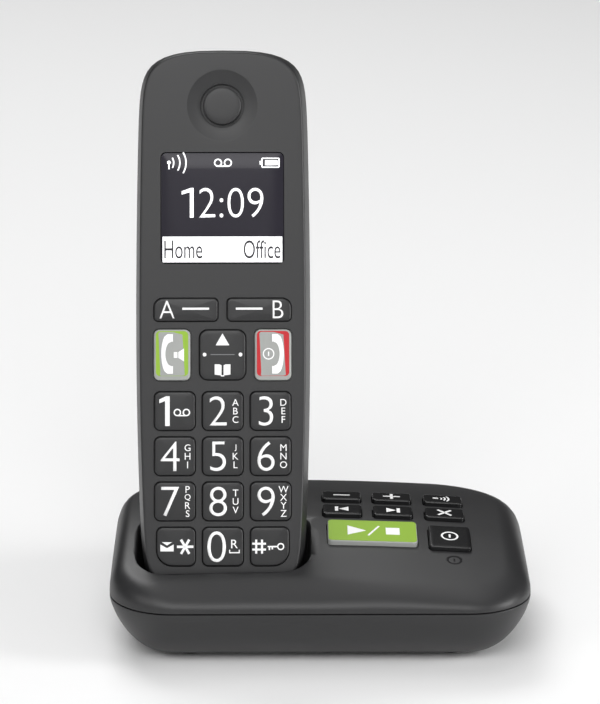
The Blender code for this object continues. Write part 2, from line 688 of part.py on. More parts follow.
def build_base_bottom():
    shell = ring_solid("base_bottom_shell", tub_rings(), "charcoal_plastic")
    cuts = []
    hole = screw_profile(GAP, FLOOR_Z - OVERCUT, FLOOR_Z + WALL + OVERCUT)
    body = screw_profile(0.0, FLOOR_Z + 0.2, FLOOR_Z + WALL + 1.6)
    for name, (x, y) in BASE_SCREWS.items():
        cuts.append(hole(x, y))
        ring_solid(name, body(x, y), "steel")
    rear = BASE_DEPTH / 2
    for name, x in SOCKET_XS.items():
        width, depth, height = SOCKET_SIZE
        low = (x - width / 2 - GAP, rear - SOCKET_SET_BACK - depth - GAP, SOCKET_Z - height / 2 - GAP)
        high = (x + width / 2 + GAP, rear + OVERCUT, SOCKET_Z + height / 2 + GAP)
        cuts.append(box_rings(low, high))
        build_socket(name, x, rear)
    boolean(shell, cutter("bottom_holes", cuts))
    for name, (side, end) in {"foot_front_left": (-1, -1), "foot_front_right": (1, -1),
                              "foot_back_left": (-1, 1), "foot_back_right": (1, 1)}.items():
        outline = round_outline(FOOT_RADIUS)
        ring_solid(name, stacked(outline, (side * FOOT_X, end * FOOT_Y), (
            (0.0, -0.4), (0.3, 0.0), (FLOOR_Z - GAP, 0.0))), "rubber")


def build_socket(name, x, rear):
    """A modular socket: a box with a hollow open to the back."""
    width, depth, height = SOCKET_SIZE
    face = rear - SOCKET_SET_BACK
    low = (x - width / 2, face - depth, SOCKET_Z - height / 2)
    high = (x + width / 2, face, SOCKET_Z + height / 2)
    socket = ring_solid(name, box_rings(low, high), "key_plastic")
    edge = SOCKET_WALL
    space = box_rings((low[0] + edge, low[1] + 2 * edge, low[2] + edge),
                      (high[0] - edge, high[1] + OVERCUT, high[2] - edge))
    boolean(socket, cutter(name + "_space", [space]))


def build_base_insides(handset_frame, keys):
    outline = rectangle_outline(*BASE_BOARD, 4.0)
    ring_solid("base_circuit_board", stacked(outline, BASE_BOARD_AT, (
        BASE_BOARD_Z, BASE_BOARD_Z + BOARD_THICK)), "circuit_board")
    rows = list(keys.values())
    left = min(key[3] - key[0] / 2 for key in rows)
    right = max(key[3] + key[0] / 2 for key in rows)
    front = min(key[4] - key[1] / 2 for key in rows)
    back = max(key[4] + key[1] / 2 for key in rows)
    middle = ((left + right) / 2, (front + back) / 2)
    lowest = WALL + BASE_RIM_GAP + FLANGE_THICK + BASE_KEY_TRAVEL + GAP + MAT_THICK
    place = surface_frame("base_mat_frame", *middle)
    mat = rectangle_outline(right - left, back - front, 2.0)
    ring_solid("base_key_mat", stacked(mat, (0.0, 0.0), (-lowest - 1.2, -lowest)), "rubber", place)
    speaker = round_outline(SPEAKER_RADIUS)
    inside = FLOOR_Z + WALL
    ring_solid("base_speaker", stacked(speaker, SPEAKER_AT, (
        (inside + GAP, 0.0), (inside + SPEAKER_RIM, 0.0), (inside + SPEAKER_RIM, -SPEAKER_MAGNET_INSET),
        (inside + SPEAKER_TALL, -SPEAKER_MAGNET_INSET))), "steel")
    for side, name in ((-1, "charge_spring_left"), (1, "charge_spring_right")):
        half_x = CONTACT_SIZE[0] / 2 - GAP
        x = side * CONTACT_X
        low = (x - half_x, CONTACT_DEPTH - 1.0, -GAP - POCKET_WALL - 0.4)
        high = (x + half_x, CONTACT_DEPTH + 1.0, CONTACT_RECESS - GAP)
        ring_solid(name, box_rings(low, high), "plated_metal", handset_frame, (x, CONTACT_DEPTH, high[2]))


def main():
    clear_scene()
    handset_frame = frame_empty("handset_frame", (HANDSET_X, HANDSET_Y, HANDSET_Z),
                                Euler((-HANDSET_LEAN, 0.0, 0.0)))
    build_handset(handset_frame)
    keys = base_keys()
    build_base_top(handset_frame, keys)
    build_base_keys(keys)
    build_base_bottom()
    build_base_insides(handset_frame, keys)


main()
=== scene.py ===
import json
import math

import bmesh
import bpy
from mathutils import Matrix, Vector


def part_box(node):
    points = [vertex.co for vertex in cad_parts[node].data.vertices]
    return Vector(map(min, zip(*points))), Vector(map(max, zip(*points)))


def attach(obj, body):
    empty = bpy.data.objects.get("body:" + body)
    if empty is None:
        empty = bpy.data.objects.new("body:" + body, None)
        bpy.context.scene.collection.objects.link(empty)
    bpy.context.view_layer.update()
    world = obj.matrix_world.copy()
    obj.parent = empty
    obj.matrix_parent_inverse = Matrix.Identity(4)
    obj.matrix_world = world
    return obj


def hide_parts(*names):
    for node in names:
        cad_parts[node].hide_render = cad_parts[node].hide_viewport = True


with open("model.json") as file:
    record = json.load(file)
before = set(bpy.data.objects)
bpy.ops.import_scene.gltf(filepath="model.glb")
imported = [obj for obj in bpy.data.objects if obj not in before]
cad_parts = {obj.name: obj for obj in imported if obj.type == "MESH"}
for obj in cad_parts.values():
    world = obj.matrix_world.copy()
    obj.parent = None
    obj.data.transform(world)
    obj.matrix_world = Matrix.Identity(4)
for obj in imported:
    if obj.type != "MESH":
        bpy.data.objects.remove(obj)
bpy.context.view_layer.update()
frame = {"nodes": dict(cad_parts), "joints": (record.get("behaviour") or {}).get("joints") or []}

MM = 0.001
JOINT_OF = {joint["child"]: joint for joint in frame["joints"]}


# Frames: everything is built in millimetres in the frame of the piece that it belongs to --

def corners_of(points):
    """Lowest and highest corner of some points."""
    low = Vector(min(point[axis] for point in points) for axis in range(3))
    high = Vector(max(point[axis] for point in points) for axis in range(3))
    return low, high


def local_box(node, place):
    """Lowest and highest corner of a CAD node in a frame, in millimetres."""
    turned = place.inverted()
    return corners_of([turned @ (vertex.co / MM) for vertex in frame["nodes"][node].data.vertices])


def cad_box(node):
    """Lowest and highest corner of a CAD node at rest, in millimetres."""
    low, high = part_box(node)
    return low / MM, high / MM


def handset_place():
    """x right, y from the face to the back, z up the handset; origin at the face's foot."""
    axis = Vector(JOINT_OF["handset"]["axis"])
    turn = Matrix.Rotation(-math.atan2(axis.y, axis.z), 4, "X")
    low, high = local_box("handset_front_shell", turn)
    foot = turn @ Vector(((low.x + high.x) / 2, low.y, low.z))
    return Matrix.Translation(foot) @ turn


def base_key_place(node):
    """z straight out of the base's top at a key, origin in the middle of the cap's top."""
    outward = -Vector(JOINT_OF[node]["axis"])
    turn = outward.to_track_quat("Z", "Y").to_matrix().to_4x4()
    side = Vector((1.0, 0.0, 0.0))
    side = (side - outward * side.dot(outward)).normalized()
    ahead = outward.cross(side)
    turn = Matrix((side, ahead, outward)).transposed().to_4x4()
    low, high = local_box(node, turn)
    top = turn @ Vector(((low.x + high.x) / 2, (low.y + high.y) / 2, high.z))
    return Matrix.Translation(top) @ turn


HANDSET = handset_place()
FRONT_LOW, FRONT_HIGH = local_box("handset_front_shell", HANDSET)
REAR_LOW, REAR_HIGH = local_box("handset_rear_shell", HANDSET)
HALF_WIDTH = (FRONT_HIGH.x - FRONT_LOW.x) / 2
LENGTH = FRONT_HIGH.z - FRONT_LOW.z
PARTING = (FRONT_HIGH.y + REAR_LOW.y) / 2
BACK = REAR_HIGH.y

TUB_LOW, TUB_HIGH = cad_box("base_bottom_shell")
BASE_HALF_WIDTH = TUB_HIGH.x
BASE_HALF_DEPTH = TUB_HIGH.y

# Design values shared with the CAD model, in millimetres
WALL = 1.8
SEAM_GAP = 0.3
SEAM_EASE = ((0.0, 0.25), (0.08, 0.08), (0.3, 0.0))     # (away from the seam, inset) of a shell's rim
HOLE_GAP = 0.3           # clearance round each key and the window
KEY_RIM = 0.85           # width of the hidden rim round a key
KEY_RIM_THICK = 0.8
CONTACT_X = 9.0          # charge contacts, left and right of the middle
CONTACT_Y = 17.0
GRILLE_Z = 124.0         # height of the loudspeaker grille on the handset's back
CORNER_POWER = 19.0
SIDE_POWER = 2.79
TAPER_TOP = 0.055
TAPER_BOTTOM = 0.09
FACE_CROWN = 0.55        # fall of the handset's face towards its sides
EDGE_INSET = 1.65        # slope of the front shell's side walls
FRONT_RADIUS = 19.0
BACK_RADIUS = 28.0
SHOULDER = 10.0
SEAM_Z = 18.5
PEAK_Z = 33.2
PEAK_Y = 12.0
ARCH = 0.0029
CROWN = 0.00058
CROWN_X = -15.0


# Materials -----------------------------------------------------------------------------

def linear(code):
    """An sRGB hex colour as the linear RGBA that shaders take."""
    values = []
    for start in (0, 2, 4):
        share = int(code[start:start + 2], 16) / 255
        values.append(share / 12.92 if share <= 0.04045 else ((share + 0.055) / 1.055) ** 2.4)
    return (*values, 1.0)


def add(tree, kind, settings=None, links=None):
    """Add a node, set its properties and sockets, and link its inputs to other nodes."""
    node = tree.nodes.new(kind)
    for name, value in (settings or {}).items():
        if isinstance(name, str) and hasattr(node, name):
            setattr(node, name, value)
        else:
            node.inputs[name].default_value = value
    for name, source in (links or {}).items():
        tree.links.new(source, node.inputs[name])
    return node


def new_material(name, settings):
    """A material with a Principled shader set up by its settings, and its object coordinates."""
    made = bpy.data.materials.new(name)
    made.use_nodes = True
    tree = made.node_tree
    shader = tree.nodes["Principled BSDF"]
    for socket, value in settings.items():
        shader.inputs[socket].default_value = value
    place = add(tree, "ShaderNodeTexCoord").outputs["Object"]
    return made, tree, shader, place


def moulded(name, colour, roughness, grain_mm, depth_mm, spread=0.06, coat=0.0):
    """Injection-moulded plastic: a spark-eroded tool leaves a fine even grain, and the
    melt leaves faint cloudy changes of tone and gloss over a few centimetres."""
    made, tree, shader, place = new_material(name, {
        "Base Color": linear(colour), "Roughness": roughness, "IOR": 1.52, "Specular IOR Level": 0.45,
        "Coat Weight": coat, "Coat Roughness": 0.25})
    cloud = add(tree, "ShaderNodeTexNoise", {"Scale": 1 / (22 * MM), "Detail": 3.0}, {"Vector": place})
    tone = add(tree, "ShaderNodeMapRange", {"To Min": 1 - spread, "To Max": 1 + spread},
               {"Value": cloud.outputs["Fac"]})
    tint = add(tree, "ShaderNodeVectorMath", {"operation": "SCALE", 0: linear(colour)[:3]},
               {"Scale": tone.outputs["Result"]})
    tree.links.new(tint.outputs["Vector"], shader.inputs["Base Color"])
    gloss = add(tree, "ShaderNodeMapRange", {"To Min": roughness - 0.04, "To Max": roughness + 0.05},
                {"Value": cloud.outputs["Fac"]})
    tree.links.new(gloss.outputs["Result"], shader.inputs["Roughness"])
    grain = add(tree, "ShaderNodeTexNoise", {"Scale": 1 / (grain_mm * MM), "Detail": 2.0}, {"Vector": place})
    bump = add(tree, "ShaderNodeBump", {"Strength": 0.35, "Distance": depth_mm * MM},
               {"Height": grain.outputs["Fac"]})
    tree.links.new(bump.outputs["Normal"], shader.inputs["Normal"])
    return made


def brushed(name, colour, roughness, line_mm, stretch):
    """Plated or drawn metal: fine lines along one way change the gloss and catch light."""
    made, tree, shader, place = new_material(name, {
        "Base Color": linear(colour), "Metallic": 1.0, "Roughness": roughness})
    lines = add(tree, "ShaderNodeMapping", {"Scale": stretch}, {"Vector": place})
    noise = add(tree, "ShaderNodeTexNoise", {"Scale": 1 / (line_mm * MM), "Detail": 2.0},
                {"Vector": lines.outputs["Vector"]})
    gloss = add(tree, "ShaderNodeMapRange", {"To Min": roughness - 0.08, "To Max": roughness + 0.12},
                {"Value": noise.outputs["Fac"]})
    tree.links.new(gloss.outputs["Result"], shader.inputs["Roughness"])
    bump = add(tree, "ShaderNodeBump", {"Strength": 0.2, "Distance": 0.02 * MM},
               {"Height": noise.outputs["Fac"]})
    tree.links.new(bump.outputs["Normal"], shader.inputs["Normal"])
    return made


def display_acrylic():
    """The window: hard-coated clear acrylic over an unlit dark display. It has a soft gloss,
    and the display's rows of dots just show as a faint grid."""
    made, tree, shader, place = new_material("hard_coated_acrylic_over_display", {
        "Base Color": linear("201e27"), "Roughness": 0.24, "IOR": 1.49, "Specular IOR Level": 0.25,
        "Coat Weight": 0.08, "Coat Roughness": 0.08})
    grid = add(tree, "ShaderNodeTexChecker", {"Scale": 1 / (0.29 * MM), "Color1": linear("221f29"),
                                              "Color2": linear("1e1c25")}, {"Vector": place})
    tree.links.new(grid.outputs["Color"], shader.inputs["Base Color"])
    return made


def lit_dots(name, colour, strength):
    """Display dots that let the backlight through, which is faintly uneven behind them."""
    made, tree, shader, place = new_material(name, {
        "Base Color": linear(colour), "Roughness": 0.5, "Emission Color": linear(colour),
        "Emission Strength": strength})
    cloud = add(tree, "ShaderNodeTexNoise", {"Scale": 1 / (9 * MM)}, {"Vector": place})
    level = add(tree, "ShaderNodeMapRange", {"To Min": strength * 0.93, "To Max": strength * 1.05},
                {"Value": cloud.outputs["Fac"]})
    tree.links.new(level.outputs["Result"], shader.inputs["Emission Strength"])
    return made


def printed_ink(name, colour, roughness=0.5):
    """Screen-printed ink: a thin even film whose gloss varies with the mesh of the screen."""
    made, tree, shader, place = new_material(name, {
        "Base Color": linear(colour), "Roughness": roughness, "IOR": 1.5})
    mesh = add(tree, "ShaderNodeTexNoise", {"Scale": 1 / (0.35 * MM), "Detail": 1.0}, {"Vector": place})
    gloss = add(tree, "ShaderNodeMapRange", {"To Min": roughness - 0.06, "To Max": roughness + 0.06},
                {"Value": mesh.outputs["Fac"]})
    tree.links.new(gloss.outputs["Result"], shader.inputs["Roughness"])
    bump = add(tree, "ShaderNodeBump", {"Strength": 0.1, "Distance": 0.01 * MM},
               {"Height": mesh.outputs["Fac"]})
    tree.links.new(bump.outputs["Normal"], shader.inputs["Normal"])
    return made


def solder_mask():
    """Circuit board: green mask over glass weave, with the copper tracks as lighter lines."""
    made, tree, shader, place = new_material("green_solder_mask_on_fibreglass", {
        "Base Color": linear("1d5a34"), "Roughness": 0.35})
    tracks = add(tree, "ShaderNodeTexBrick", {"Scale": 1 / (6 * MM), "Mortar Size": 0.03,
                                              "Color1": linear("1d5a34"), "Color2": linear("1a5230"),
                                              "Mortar": linear("3f8a55")}, {"Vector": place})
    tree.links.new(tracks.outputs["Color"], shader.inputs["Base Color"])
    return made


# Charcoal ABS shells: dull, fine even grain that only shows as a soft sheen.
SHELL_ABS = moulded("charcoal_abs_spark_grain", "262627", 0.42, 0.30, 0.030)
# Key caps: the same ABS from a finer tool, slightly darker and smoother than the shells.
KEY_ABS = moulded("charcoal_abs_key_satin", "232324", 0.34, 0.22, 0.014)
# Base keys: black ABS polished by its tool, so that the front edges draw thin bright lines.
BASE_KEY_ABS = moulded("black_abs_key_polished", "161617", 0.24, 0.22, 0.006)
# Grey polycarbonate key bodies under the coloured prints: pale, satin, slightly glossy.
KEY_GREY = moulded("grey_polycarbonate_key_body", "9b9d9a", 0.34, 0.22, 0.012)
# Lime and red in-mould prints: saturated colour under a thin clear satin film.
KEY_LIME = moulded("lime_in_mould_print", "8ab02a", 0.40, 0.22, 0.010, 0.03, 0.1)
KEY_RED = moulded("red_in_mould_print", "b80a1a", 0.40, 0.22, 0.010, 0.03, 0.1)
# Black ABS inside recesses and sockets: dull, and darker than the shells as painted shade, so that openings
# read as deep.
SOCKET_ABS_PAINTED_SHADE = moulded("black_abs_socket", "1b1b1c", 0.5, 0.30, 0.020)
# Silicone rubber feet and mats: very matt, slightly dusty black.
RUBBER = moulded("silicone_rubber_moulded", "17171a", 0.78, 0.45, 0.040, 0.12)
# White legends on the keys: opaque and satin.
INK_WHITE = printed_ink("white_screen_print", "f2f2f2")
# Grey line on the navigation key and the blank label: duller than the legends.
INK_GREY = printed_ink("grey_screen_print", "77787a", 0.55)
# Black sign on the answer lamp: glossier than the plastic round it, which is all that shows it.
INK_DARK = printed_ink("black_gloss_symbol", "121214", 0.25)
ACRYLIC = display_acrylic()
# Lit dots of the display, and the dark ones that spell the words on its lit bar.
DOTS_WHITE = lit_dots("white_backlit_dots", "f4f4f6", 0.55)
DOTS_DARK = lit_dots("dark_display_dots", "1c1b22", 0.02)
# Nickel-plated phosphor-bronze contacts: warm silver, drawn along their length.
NICKEL = brushed("nickel_plated_bronze_drawn", "c9c3b2", 0.26, 0.25, (1.0, 1.0, 0.15))
# Zinc-plated steel screws and speaker baskets: bluish grey, pressed.
STEEL = brushed("zinc_plated_steel_pressed", "9ea1a5", 0.34, 0.30, (0.4, 0.4, 1.0))
BOARD = solder_mask()
# Battery sleeves: printed shrink film, smooth and glossy.
SLEEVE = moulded("blue_shrink_film", "3a5f9e", 0.28, 0.8, 0.010, 0.05)


# Meshes --------------------------------------------------------------------------------

SMOOTH_ANGLE = 32.0      # edges sharper than this many degrees stay crisp


def smooth(data):
    data.shade_smooth()
    data.set_sharp_from_angle(angle=math.radians(SMOOTH_ANGLE))


def scene_object(name, data):
    """A new object in the scene."""
    made = bpy.data.objects.new(name, data)
    bpy.context.scene.collection.objects.link(made)
    return made


def evaluated_mesh(holder):
    """What an object's modifiers or its text give, as a new plain mesh."""
    return bpy.data.meshes.new_from_object(holder.evaluated_get(bpy.context.evaluated_depsgraph_get()))


def flat_rings(points, levels, middle=(0.0, 0.0)):
    """One outline (x, y) at several heights z."""
    return [[(middle[0] + x, middle[1] + y, level) for x, y in points] for level in levels]


def facing_rings(points, depths, middle=(0.0, 0.0)):
    """One outline (x, z) at several depths y."""
    return [[(middle[0] + x, depth, middle[1] + z) for x, z in points] for depth in depths]


def turned_rings(profile, steps, middle=(0.0, 0.0)):
    """Circles of a turned shape; the profile is (height z, radius)."""
    return [[(x, y, level) for x, y in circle(radius, steps, middle)] for level, radius in profile]


def skin(rings, mesh=None):
    """Skin a stack of rings into a closed surface; a ring of one point is a peak."""
    mesh = mesh or bmesh.new()
    loops = [[mesh.verts.new(point) for point in ring] for ring in rings]
    for lower, upper in zip(loops, loops[1:]):
        count = max(len(lower), len(upper))
        for index in range(count):
            after = (index + 1) % count
            if len(upper) == 1:
                mesh.faces.new((lower[index], lower[after], upper[0]))
            elif len(lower) == 1:
                mesh.faces.new((lower[0], upper[after], upper[index]))
            else:
                mesh.faces.new((lower[index], lower[after], upper[after], upper[index]))
    if len(loops[0]) > 1:
        mesh.faces.new(list(reversed(loops[0])))
    if len(loops[-1]) > 1:
        mesh.faces.new(loops[-1])
    return mesh


def finish_mesh(name, mesh, place=None):
    """A bmesh in millimetres in a frame, as a mesh in metres with outward faces."""
    bmesh.ops.recalc_face_normals(mesh, faces=mesh.faces)
    data = bpy.data.meshes.new(name)
    mesh.to_mesh(data)
    mesh.free()
    data.transform(Matrix.Scale(MM, 4) @ (place or Matrix.Identity(4)))
    smooth(data)
    return data


def show(name, data, finish, body, replaces=()):
    """Make a mesh a piece of the object that moves with a body."""
    piece = scene_object(name, data)
    if not data.materials:
        data.materials.append(finish)
    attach(piece, body)
    if replaces:
        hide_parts(*replaces)


def show_rings(name, rings, place, finish, body, replaces=()):
    """Skin a stack of rings and make it a piece of the object."""
    show(name, finish_mesh(name, skin(rings), place), finish, body, replaces)


def carved(data, steps):
    """The mesh after Boolean steps (operation, mesh), as a new plain mesh."""
    work = scene_object("work", data)
    tools = []
    for operation, tool_data in steps:
        tool = scene_object("tool", tool_data)
        tools.append(tool)
        cut = work.modifiers.new("cut", "BOOLEAN")
        cut.operation = operation
        cut.solver = "EXACT"
        cut.object = tool
    result = evaluated_mesh(work)
    for spare in [work] + tools:
        bpy.data.objects.remove(spare)
    result.name = data.name + "_carved"
    result.materials.clear()
    smooth(result)
    return weighted(result)


def weighted(data):
    """Normals weighted by face area, so that wide faces stay even beside small cut edges."""
    work = scene_object("work", data)
    even = work.modifiers.new("even", "WEIGHTED_NORMAL")
    even.keep_sharp = True
    result = evaluated_mesh(work)
    bpy.data.objects.remove(work)
    result.name = data.name
    return result


def rounded_rectangle(width, height, radii, steps=8):
    """Points anticlockwise; radii are right top, left top, left bottom, right bottom."""
    if not isinstance(radii, (tuple, list)):
        radii = (radii,) * 4
    points = []
    for quarter, (side, end) in enumerate(((1, 1), (-1, 1), (-1, -1), (1, -1))):
        radius = min(max(radii[quarter], 0.05), width / 2 - 0.01, height / 2 - 0.01)
        for step in range(steps + 1):
            angle = math.pi / 2 * (quarter + step / steps)
            points.append((side * (width / 2 - radius) + radius * math.cos(angle),
                           end * (height / 2 - radius) + radius * math.sin(angle)))
    return points


def circle(radius, steps, middle=(0.0, 0.0)):
    turns = (2 * math.pi * step / steps for step in range(steps))
    return [(middle[0] + radius * math.cos(turn), middle[1] + radius * math.sin(turn)) for turn in turns]


def handset_outline(inset=0.0, steps=56):
    """The handset's front view, drawn in by an inset."""
    half_length = LENGTH / 2
    side = []
    for step in range(steps + 1):
        along = math.sin(math.pi * (step / steps - 0.5))
        taper = TAPER_TOP if along > 0 else TAPER_BOTTOM
        bow = (1 - taper * along ** 2) * max(0.0, 1 - abs(along) ** CORNER_POWER) ** (1 / SIDE_POWER)
        side.append(((HALF_WIDTH - inset) * bow, half_length + (half_length - inset) * along))
    return side + [(-x, z) for x, z in reversed(side[1:-1])]


def face_depth(x):
    """Depth of the crowned face below its middle line."""
    return FACE_CROWN * (x / HALF_WIDTH) ** 2


# Printed marks: flat outlines in millimetres, x right and y up ---------------------------

def text_mesh(text, height, weight=0.0, squeeze=1.0):
    """Filled letters of a height, centred, as a flat mesh in the x-y plane."""
    curve = bpy.data.curves.new("letters", "FONT")
    curve.body = text
    curve.size = 1.0
    curve.resolution_u = 6
    holder = scene_object("letters", curve)
    low, high = corners_of([vertex.co for vertex in evaluated_mesh(holder).vertices])
    curve.offset = weight * (high.y - low.y)
    data = evaluated_mesh(holder)
    bpy.data.objects.remove(holder)
    low, high = corners_of([vertex.co for vertex in data.vertices])
    scale = height / (high.y - low.y)
    for vertex in data.vertices:
        vertex.co.x = (vertex.co.x - (low.x + high.x) / 2) * scale * squeeze
        vertex.co.y = (vertex.co.y - (low.y + high.y) / 2) * scale
    return data


BEND_STEP = 1.5          # a bent layer is cut every so many millimetres, so that it follows the bend


class Marks:
    """Collects flat marks for one printed layer and makes them one thin mesh."""

    def __init__(self):
        self.mesh = bmesh.new()

    def text(self, text, height, middle, weight=0.0, squeeze=1.0, align=0):
        data = text_mesh(text, height, weight, squeeze)
        half = max(vertex.co.x for vertex in data.vertices)
        shift = Vector((middle[0] - align * half, middle[1], 0.0))
        data.transform(Matrix.Translation(shift))
        self.mesh.from_mesh(data)
        bpy.data.meshes.remove(data)

    def area(self, points):
        """A filled outline; it is cut into triangles so that it may be hollow-sided."""
        verts = [self.mesh.verts.new((x, y, 0.0)) for x, y in points]
        face = self.mesh.faces.new(verts)
        face.normal_update()
        bmesh.ops.triangulate(self.mesh, faces=[face], ngon_method="EAR_CLIP")

    def bar(self, start, end, width):
        """A straight stroke with square ends."""
        along = Vector((end[0] - start[0], end[1] - start[1])).normalized() * (width / 2)
        across = Vector((-along.y, along.x))
        corners = []
        for point, side in ((start, 1), (start, -1), (end, -1), (end, 1)):
            corners.append((point[0] + side * across.x, point[1] + side * across.y))
        self.area(corners)

    def ring(self, middle, radius, width, steps=40, start=0.0, turn=360.0):
        """A ring or part of one, between radius - width and radius."""
        outer, inner = [], []
        for step in range(steps + 1):
            angle = math.radians(start + turn * step / steps)
            for reach, verts in ((radius, outer), (radius - width, inner)):
                verts.append(self.mesh.verts.new((middle[0] + reach * math.cos(angle),
                                                  middle[1] + reach * math.sin(angle), 0.0)))
        for index in range(steps):
            self.mesh.faces.new((outer[index], outer[index + 1], inner[index + 1], inner[index]))

    def made(self, name, place, thick=0.03, bend=None):
        """The layer as a thin plate: its top at z = thick in its own x-y plane, bent by a
        function of x if there is one, then set in place."""
        bmesh.ops.remove_doubles(self.mesh, verts=self.mesh.verts, dist=0.0005)
        for step in range(-12, 13) if bend else ():
            geometry = list(self.mesh.verts) + list(self.mesh.edges) + list(self.mesh.faces)
            bmesh.ops.bisect_plane(self.mesh, geom=geometry, plane_co=(BEND_STEP * step, 0.0, 0.0),
                                   plane_no=(1.0, 0.0, 0.0))
        for face in self.mesh.faces:
            face.normal_update()
            if face.normal.z < 0:
                face.normal_flip()
        top = list(self.mesh.faces)
        lifted = bmesh.ops.extrude_face_region(self.mesh, geom=top)
        for item in lifted["geom"]:
            if isinstance(item, bmesh.types.BMVert):
                item.co.z += thick
        if bend:
            for vertex in self.mesh.verts:
                vertex.co.z += bend(vertex.co.x)
        bmesh.ops.recalc_face_normals(self.mesh, faces=self.mesh.faces)
        data = bpy.data.meshes.new(name)
        self.mesh.to_mesh(data)
        self.mesh.free()
        data.transform(Matrix.Scale(MM, 4) @ place)
        return data


def cassette(marks, middle, radius, width):
    """The answering-machine sign: two reels joined by a line below."""
    reach = radius * 1.2
    for side in (-1, 1):
        marks.ring((middle[0] + side * reach, middle[1]), radius, width)
    low = middle[1] - radius + width / 2
    marks.bar((middle[0] - reach, low), (middle[0] + reach, low), width)


def power_sign(marks, middle, radius, width):
    """A ring with an upright bar inside."""
    marks.ring(middle, radius, width)
    marks.bar((middle[0], middle[1] - radius * 0.38), (middle[0], middle[1] + radius * 0.38), width)


def receiver_sign(marks, middle, height, side):
    """A telephone receiver standing upright: a bowed grip with a block at each end that
    points to one side (1 is right)."""
    half = height / 2
    grip = height * 0.105
    bow = height * 0.155
    outer, inner = [], []
    for step in range(17):
        share = step / 8 - 1
        outer.append((-side * bow * (1 - share ** 2) ** 0.5, half * share))
    for step in range(17):
        share = 1 - step / 8
        inner.append((-side * (bow * max(0.0, 1 - share ** 2) ** 0.5 - grip), half * 0.62 * share))
    block = height * 0.14
    points = outer + [(side * block, half), (side * block, half * 0.6)] + inner
    points += [(side * block, -half * 0.6), (side * block, -half)]
    marks.area([(middle[0] + x, middle[1] + y) for x, y in points])


# Keys ----------------------------------------------------------------------------------

LETTERS = {"2": "ABC", "3": "DEF", "4": "GHI", "5": "JKL", "6": "MNO", "7": "PQRS", "8": "TUV", "9": "WXYZ"}
KEY_ROUND = 0.45         # radius of a cap's edge
KEY_DOME = 0.32          # fall of a handset key's top towards its left and right edges
INK_THICK = 0.03
COLOURED = {"key_talk": KEY_LIME, "key_end": KEY_RED}
FACE_LIFT = 0.4          # the coloured print sits above the middle, so more grey shows below
FACE_THICK = 0.06        # how far the coloured print stands above the grey body
CORNER = 1.7
CORNERS = {"key_soft_a": (1.2, 2.6, 1.2, 1.2), "key_soft_b": (2.6, 1.2, 1.2, 1.2),
           "key_nav": (2.4,) * 4, "key_star": (CORNER, CORNER, 4.6, CORNER),
           "key_hash": (CORNER, CORNER, CORNER, 4.6)}


def cap_rings(width, height, corners, top, rim_top, bend=None):
    """Rings of a key from its hidden rim up to its round-edged top. They lie in x-y with z
    outward; top is the height of the top above the shell, rim_top the rim's depth below it."""
    levels = [(-rim_top - KEY_RIM_THICK, KEY_RIM), (-rim_top, KEY_RIM), (-rim_top, 0.0),
              (top - KEY_ROUND, 0.0)]
    for step in range(1, 6):
        angle = math.pi / 2 * step / 5
        levels.append((top - KEY_ROUND * (1 - math.sin(angle)), -KEY_ROUND * (1 - math.cos(angle))))
    rings = []
    for level, growth in levels:
        points = rounded_rectangle(width + 2 * growth, height + 2 * growth,
                                   [max(corner + growth, 0.1) for corner in corners])
        rings.append([(x, y, level) for x, y in points])
    last = rings[-1]
    for scale in (0.86, 0.6, 0.3):
        rings.append([(x * scale, y * scale, top) for x, y, _ in last])
    rings.append([(0.0, 0.0, top)])
    if bend:
        # The underside of the rim stays flat, so that a pressed key clears the mat beneath it.
        lowest = -rim_top - KEY_RIM_THICK + 0.2
        rings[1:] = [[(x, y, max(level + bend(x), lowest)) for x, y, level in ring] for ring in rings[1:]]
    return rings


